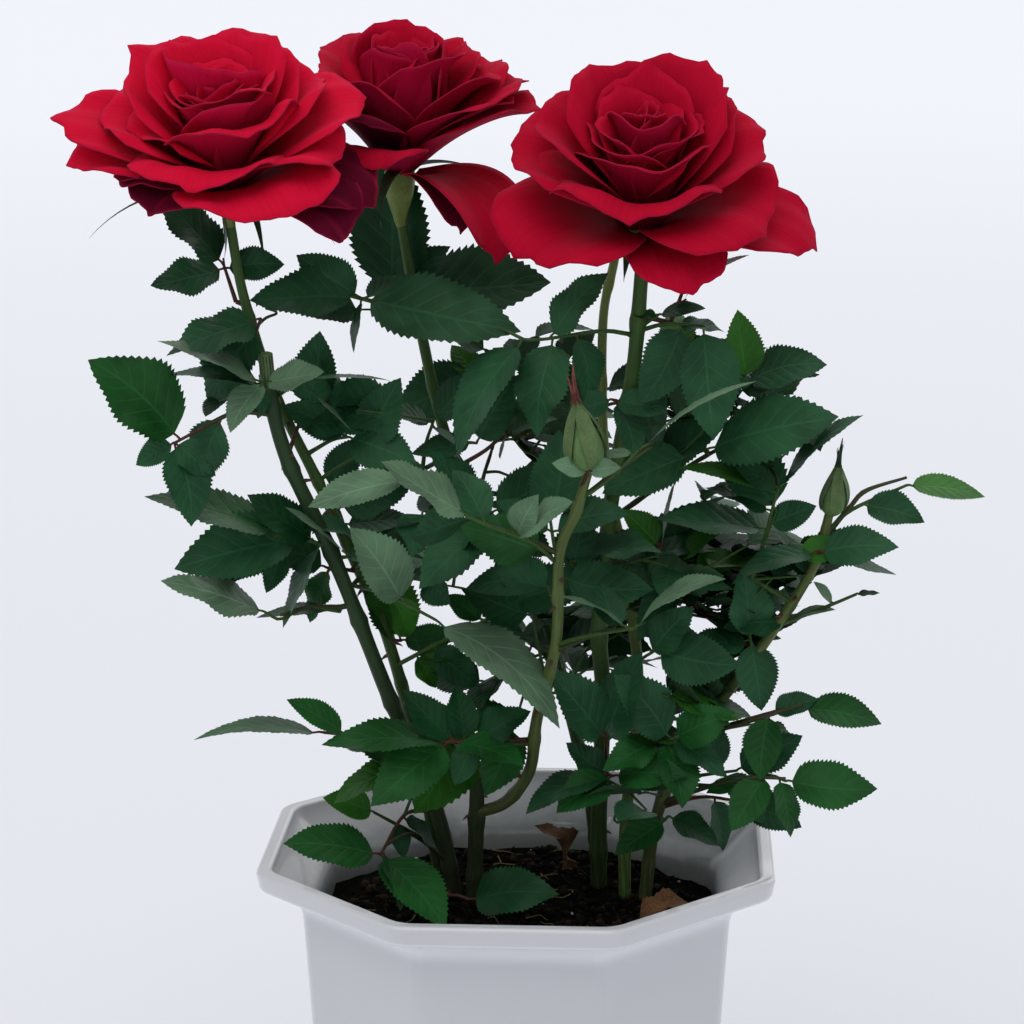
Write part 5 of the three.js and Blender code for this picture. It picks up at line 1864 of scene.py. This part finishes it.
class ROSE_OT_stage(bpy.types.Operator):
    """Make the pale floor, the soft studio light and the camera"""

    bl_idname = "rose.stage"
    bl_label = "Stage"

    def execute(self, context):
        stage = context.scene.rose_stage
        bpy.ops.object.select_all(action="DESELECT")
        bpy.ops.mesh.primitive_circle_add(vertices=96, radius=60, fill_type="NGON")
        floor = context.active_object
        floor.name = floor.data.name = "studio_floor"
        material, tree, skin = new_finish("studio_floor", 0.95)
        skin["Specular IOR Level"].default_value = 0.1
        place = put(tree, "ShaderNodeTexCoord").outputs["Object"]
        away = put(tree, "ShaderNodeVectorMath", {0: place}, operation="LENGTH").outputs["Value"]
        shade = mix(tree, step(tree, away, 0.2, 4.0), tinted(stage.floor, 0.93), tinted(stage.floor, 1.05))
        tree.links.new(shade, skin["Base Color"])
        floor.data.materials.append(material)
        self.lights(context, stage)
        self.camera(context, stage)
        return {"FINISHED"}

    def lights(self, context, stage):
        """The studio's white walls, which look brighter than they shine, and two broad lamps."""
        world = bpy.data.worlds.new("studio")
        context.scene.world = world
        world.use_nodes = True
        tree = world.node_tree
        shown = put(tree, "ShaderNodeLightPath").outputs["Is Camera Ray"]
        walls = mix(tree, shown, (0.92, 0.95, 1.0, 1), (0.88, 0.905, 0.965, 1))
        strength = calc(tree, "MULTIPLY_ADD", shown, 1 - stage.light, stage.light)
        tree.links.new(walls, tree.nodes["Background"].inputs["Color"])
        tree.links.new(strength, tree.nodes["Background"].inputs["Strength"])
        for name, (towards, energy, spread) in LAMPS.items():
            lamp = bpy.data.lights.new(name, "SUN")
            lamp.energy = energy
            lamp.angle = math.radians(spread)
            lamp.color = (1.0, 0.98, 0.97)
            made = bpy.data.objects.new(name, lamp)
            made.rotation_euler = Vector(towards).to_track_quat("-Z", "Y").to_euler()
            context.collection.objects.link(made)

    def camera(self, context, stage):
        """The camera stands in front, a little to the right, and looks down at the plant."""
        azimuth, pitch = math.radians(CAMERA_AZIMUTH), math.radians(CAMERA_PITCH)
        level = math.cos(pitch)
        back = Vector((math.sin(azimuth) * level, -math.cos(azimuth) * level, math.sin(pitch)))
        lens = bpy.data.cameras.new("camera")
        lens.lens = stage.focal_length
        lens.clip_end = 200
        camera = bpy.data.objects.new("camera", lens)
        camera.location = np.array(CAMERA_PLACE) * MM
        camera.rotation_euler = (-back).to_track_quat("-Z", "Y").to_euler()
        context.collection.objects.link(camera)
        context.scene.camera = camera
        context.scene.view_settings.view_transform = "Standard"


# -------------------- the panel, and the order of work

PIECES = (
    ROSE_OT_stage, ROSE_OT_pot, ROSE_OT_soil, ROSE_OT_canes, ROSE_OT_boughs, ROSE_OT_prickles,
    ROSE_OT_leaves, ROSE_OT_blooms, ROSE_OT_calyxes, ROSE_OT_buds,
)
SETTINGS = {
    "rose_pot": RosePotSettings, "rose_plant": RosePlantSettings, "rose_bloom": RoseBloomSettings,
    "rose_stage": RoseStageSettings,
}


class ROSE_PT_panel(bpy.types.Panel):
    """Lists what a user would change, and a button for each piece"""

    bl_label = "Potted rose"
    bl_idname = "ROSE_PT_panel"
    bl_space_type = "VIEW_3D"
    bl_region_type = "UI"
    bl_category = "Rose"

    def draw(self, context):
        for settings in SETTINGS:
            group = getattr(context.scene, settings)
            box = self.layout.box()
            for name in group.__annotations__:
                box.prop(group, name)
        for piece in PIECES:
            self.layout.operator(piece.bl_idname)


def register():
    for kind in (*SETTINGS.values(), *PIECES, ROSE_PT_panel):
        bpy.utils.register_class(kind)
    for name, kind in SETTINGS.items():
        setattr(bpy.types.Scene, name, PointerProperty(type=kind))


def unregister():
    for name in SETTINGS:
        delattr(bpy.types.Scene, name)
    for kind in reversed((*SETTINGS.values(), *PIECES, ROSE_PT_panel)):
        bpy.utils.unregister_class(kind)


def main():
    register()
    build_finishes(bpy.context)
    for piece in PIECES:
        group, name = piece.bl_idname.split(".")
        getattr(getattr(bpy.ops, group), name)()


if __name__ == "__main__":
    main()
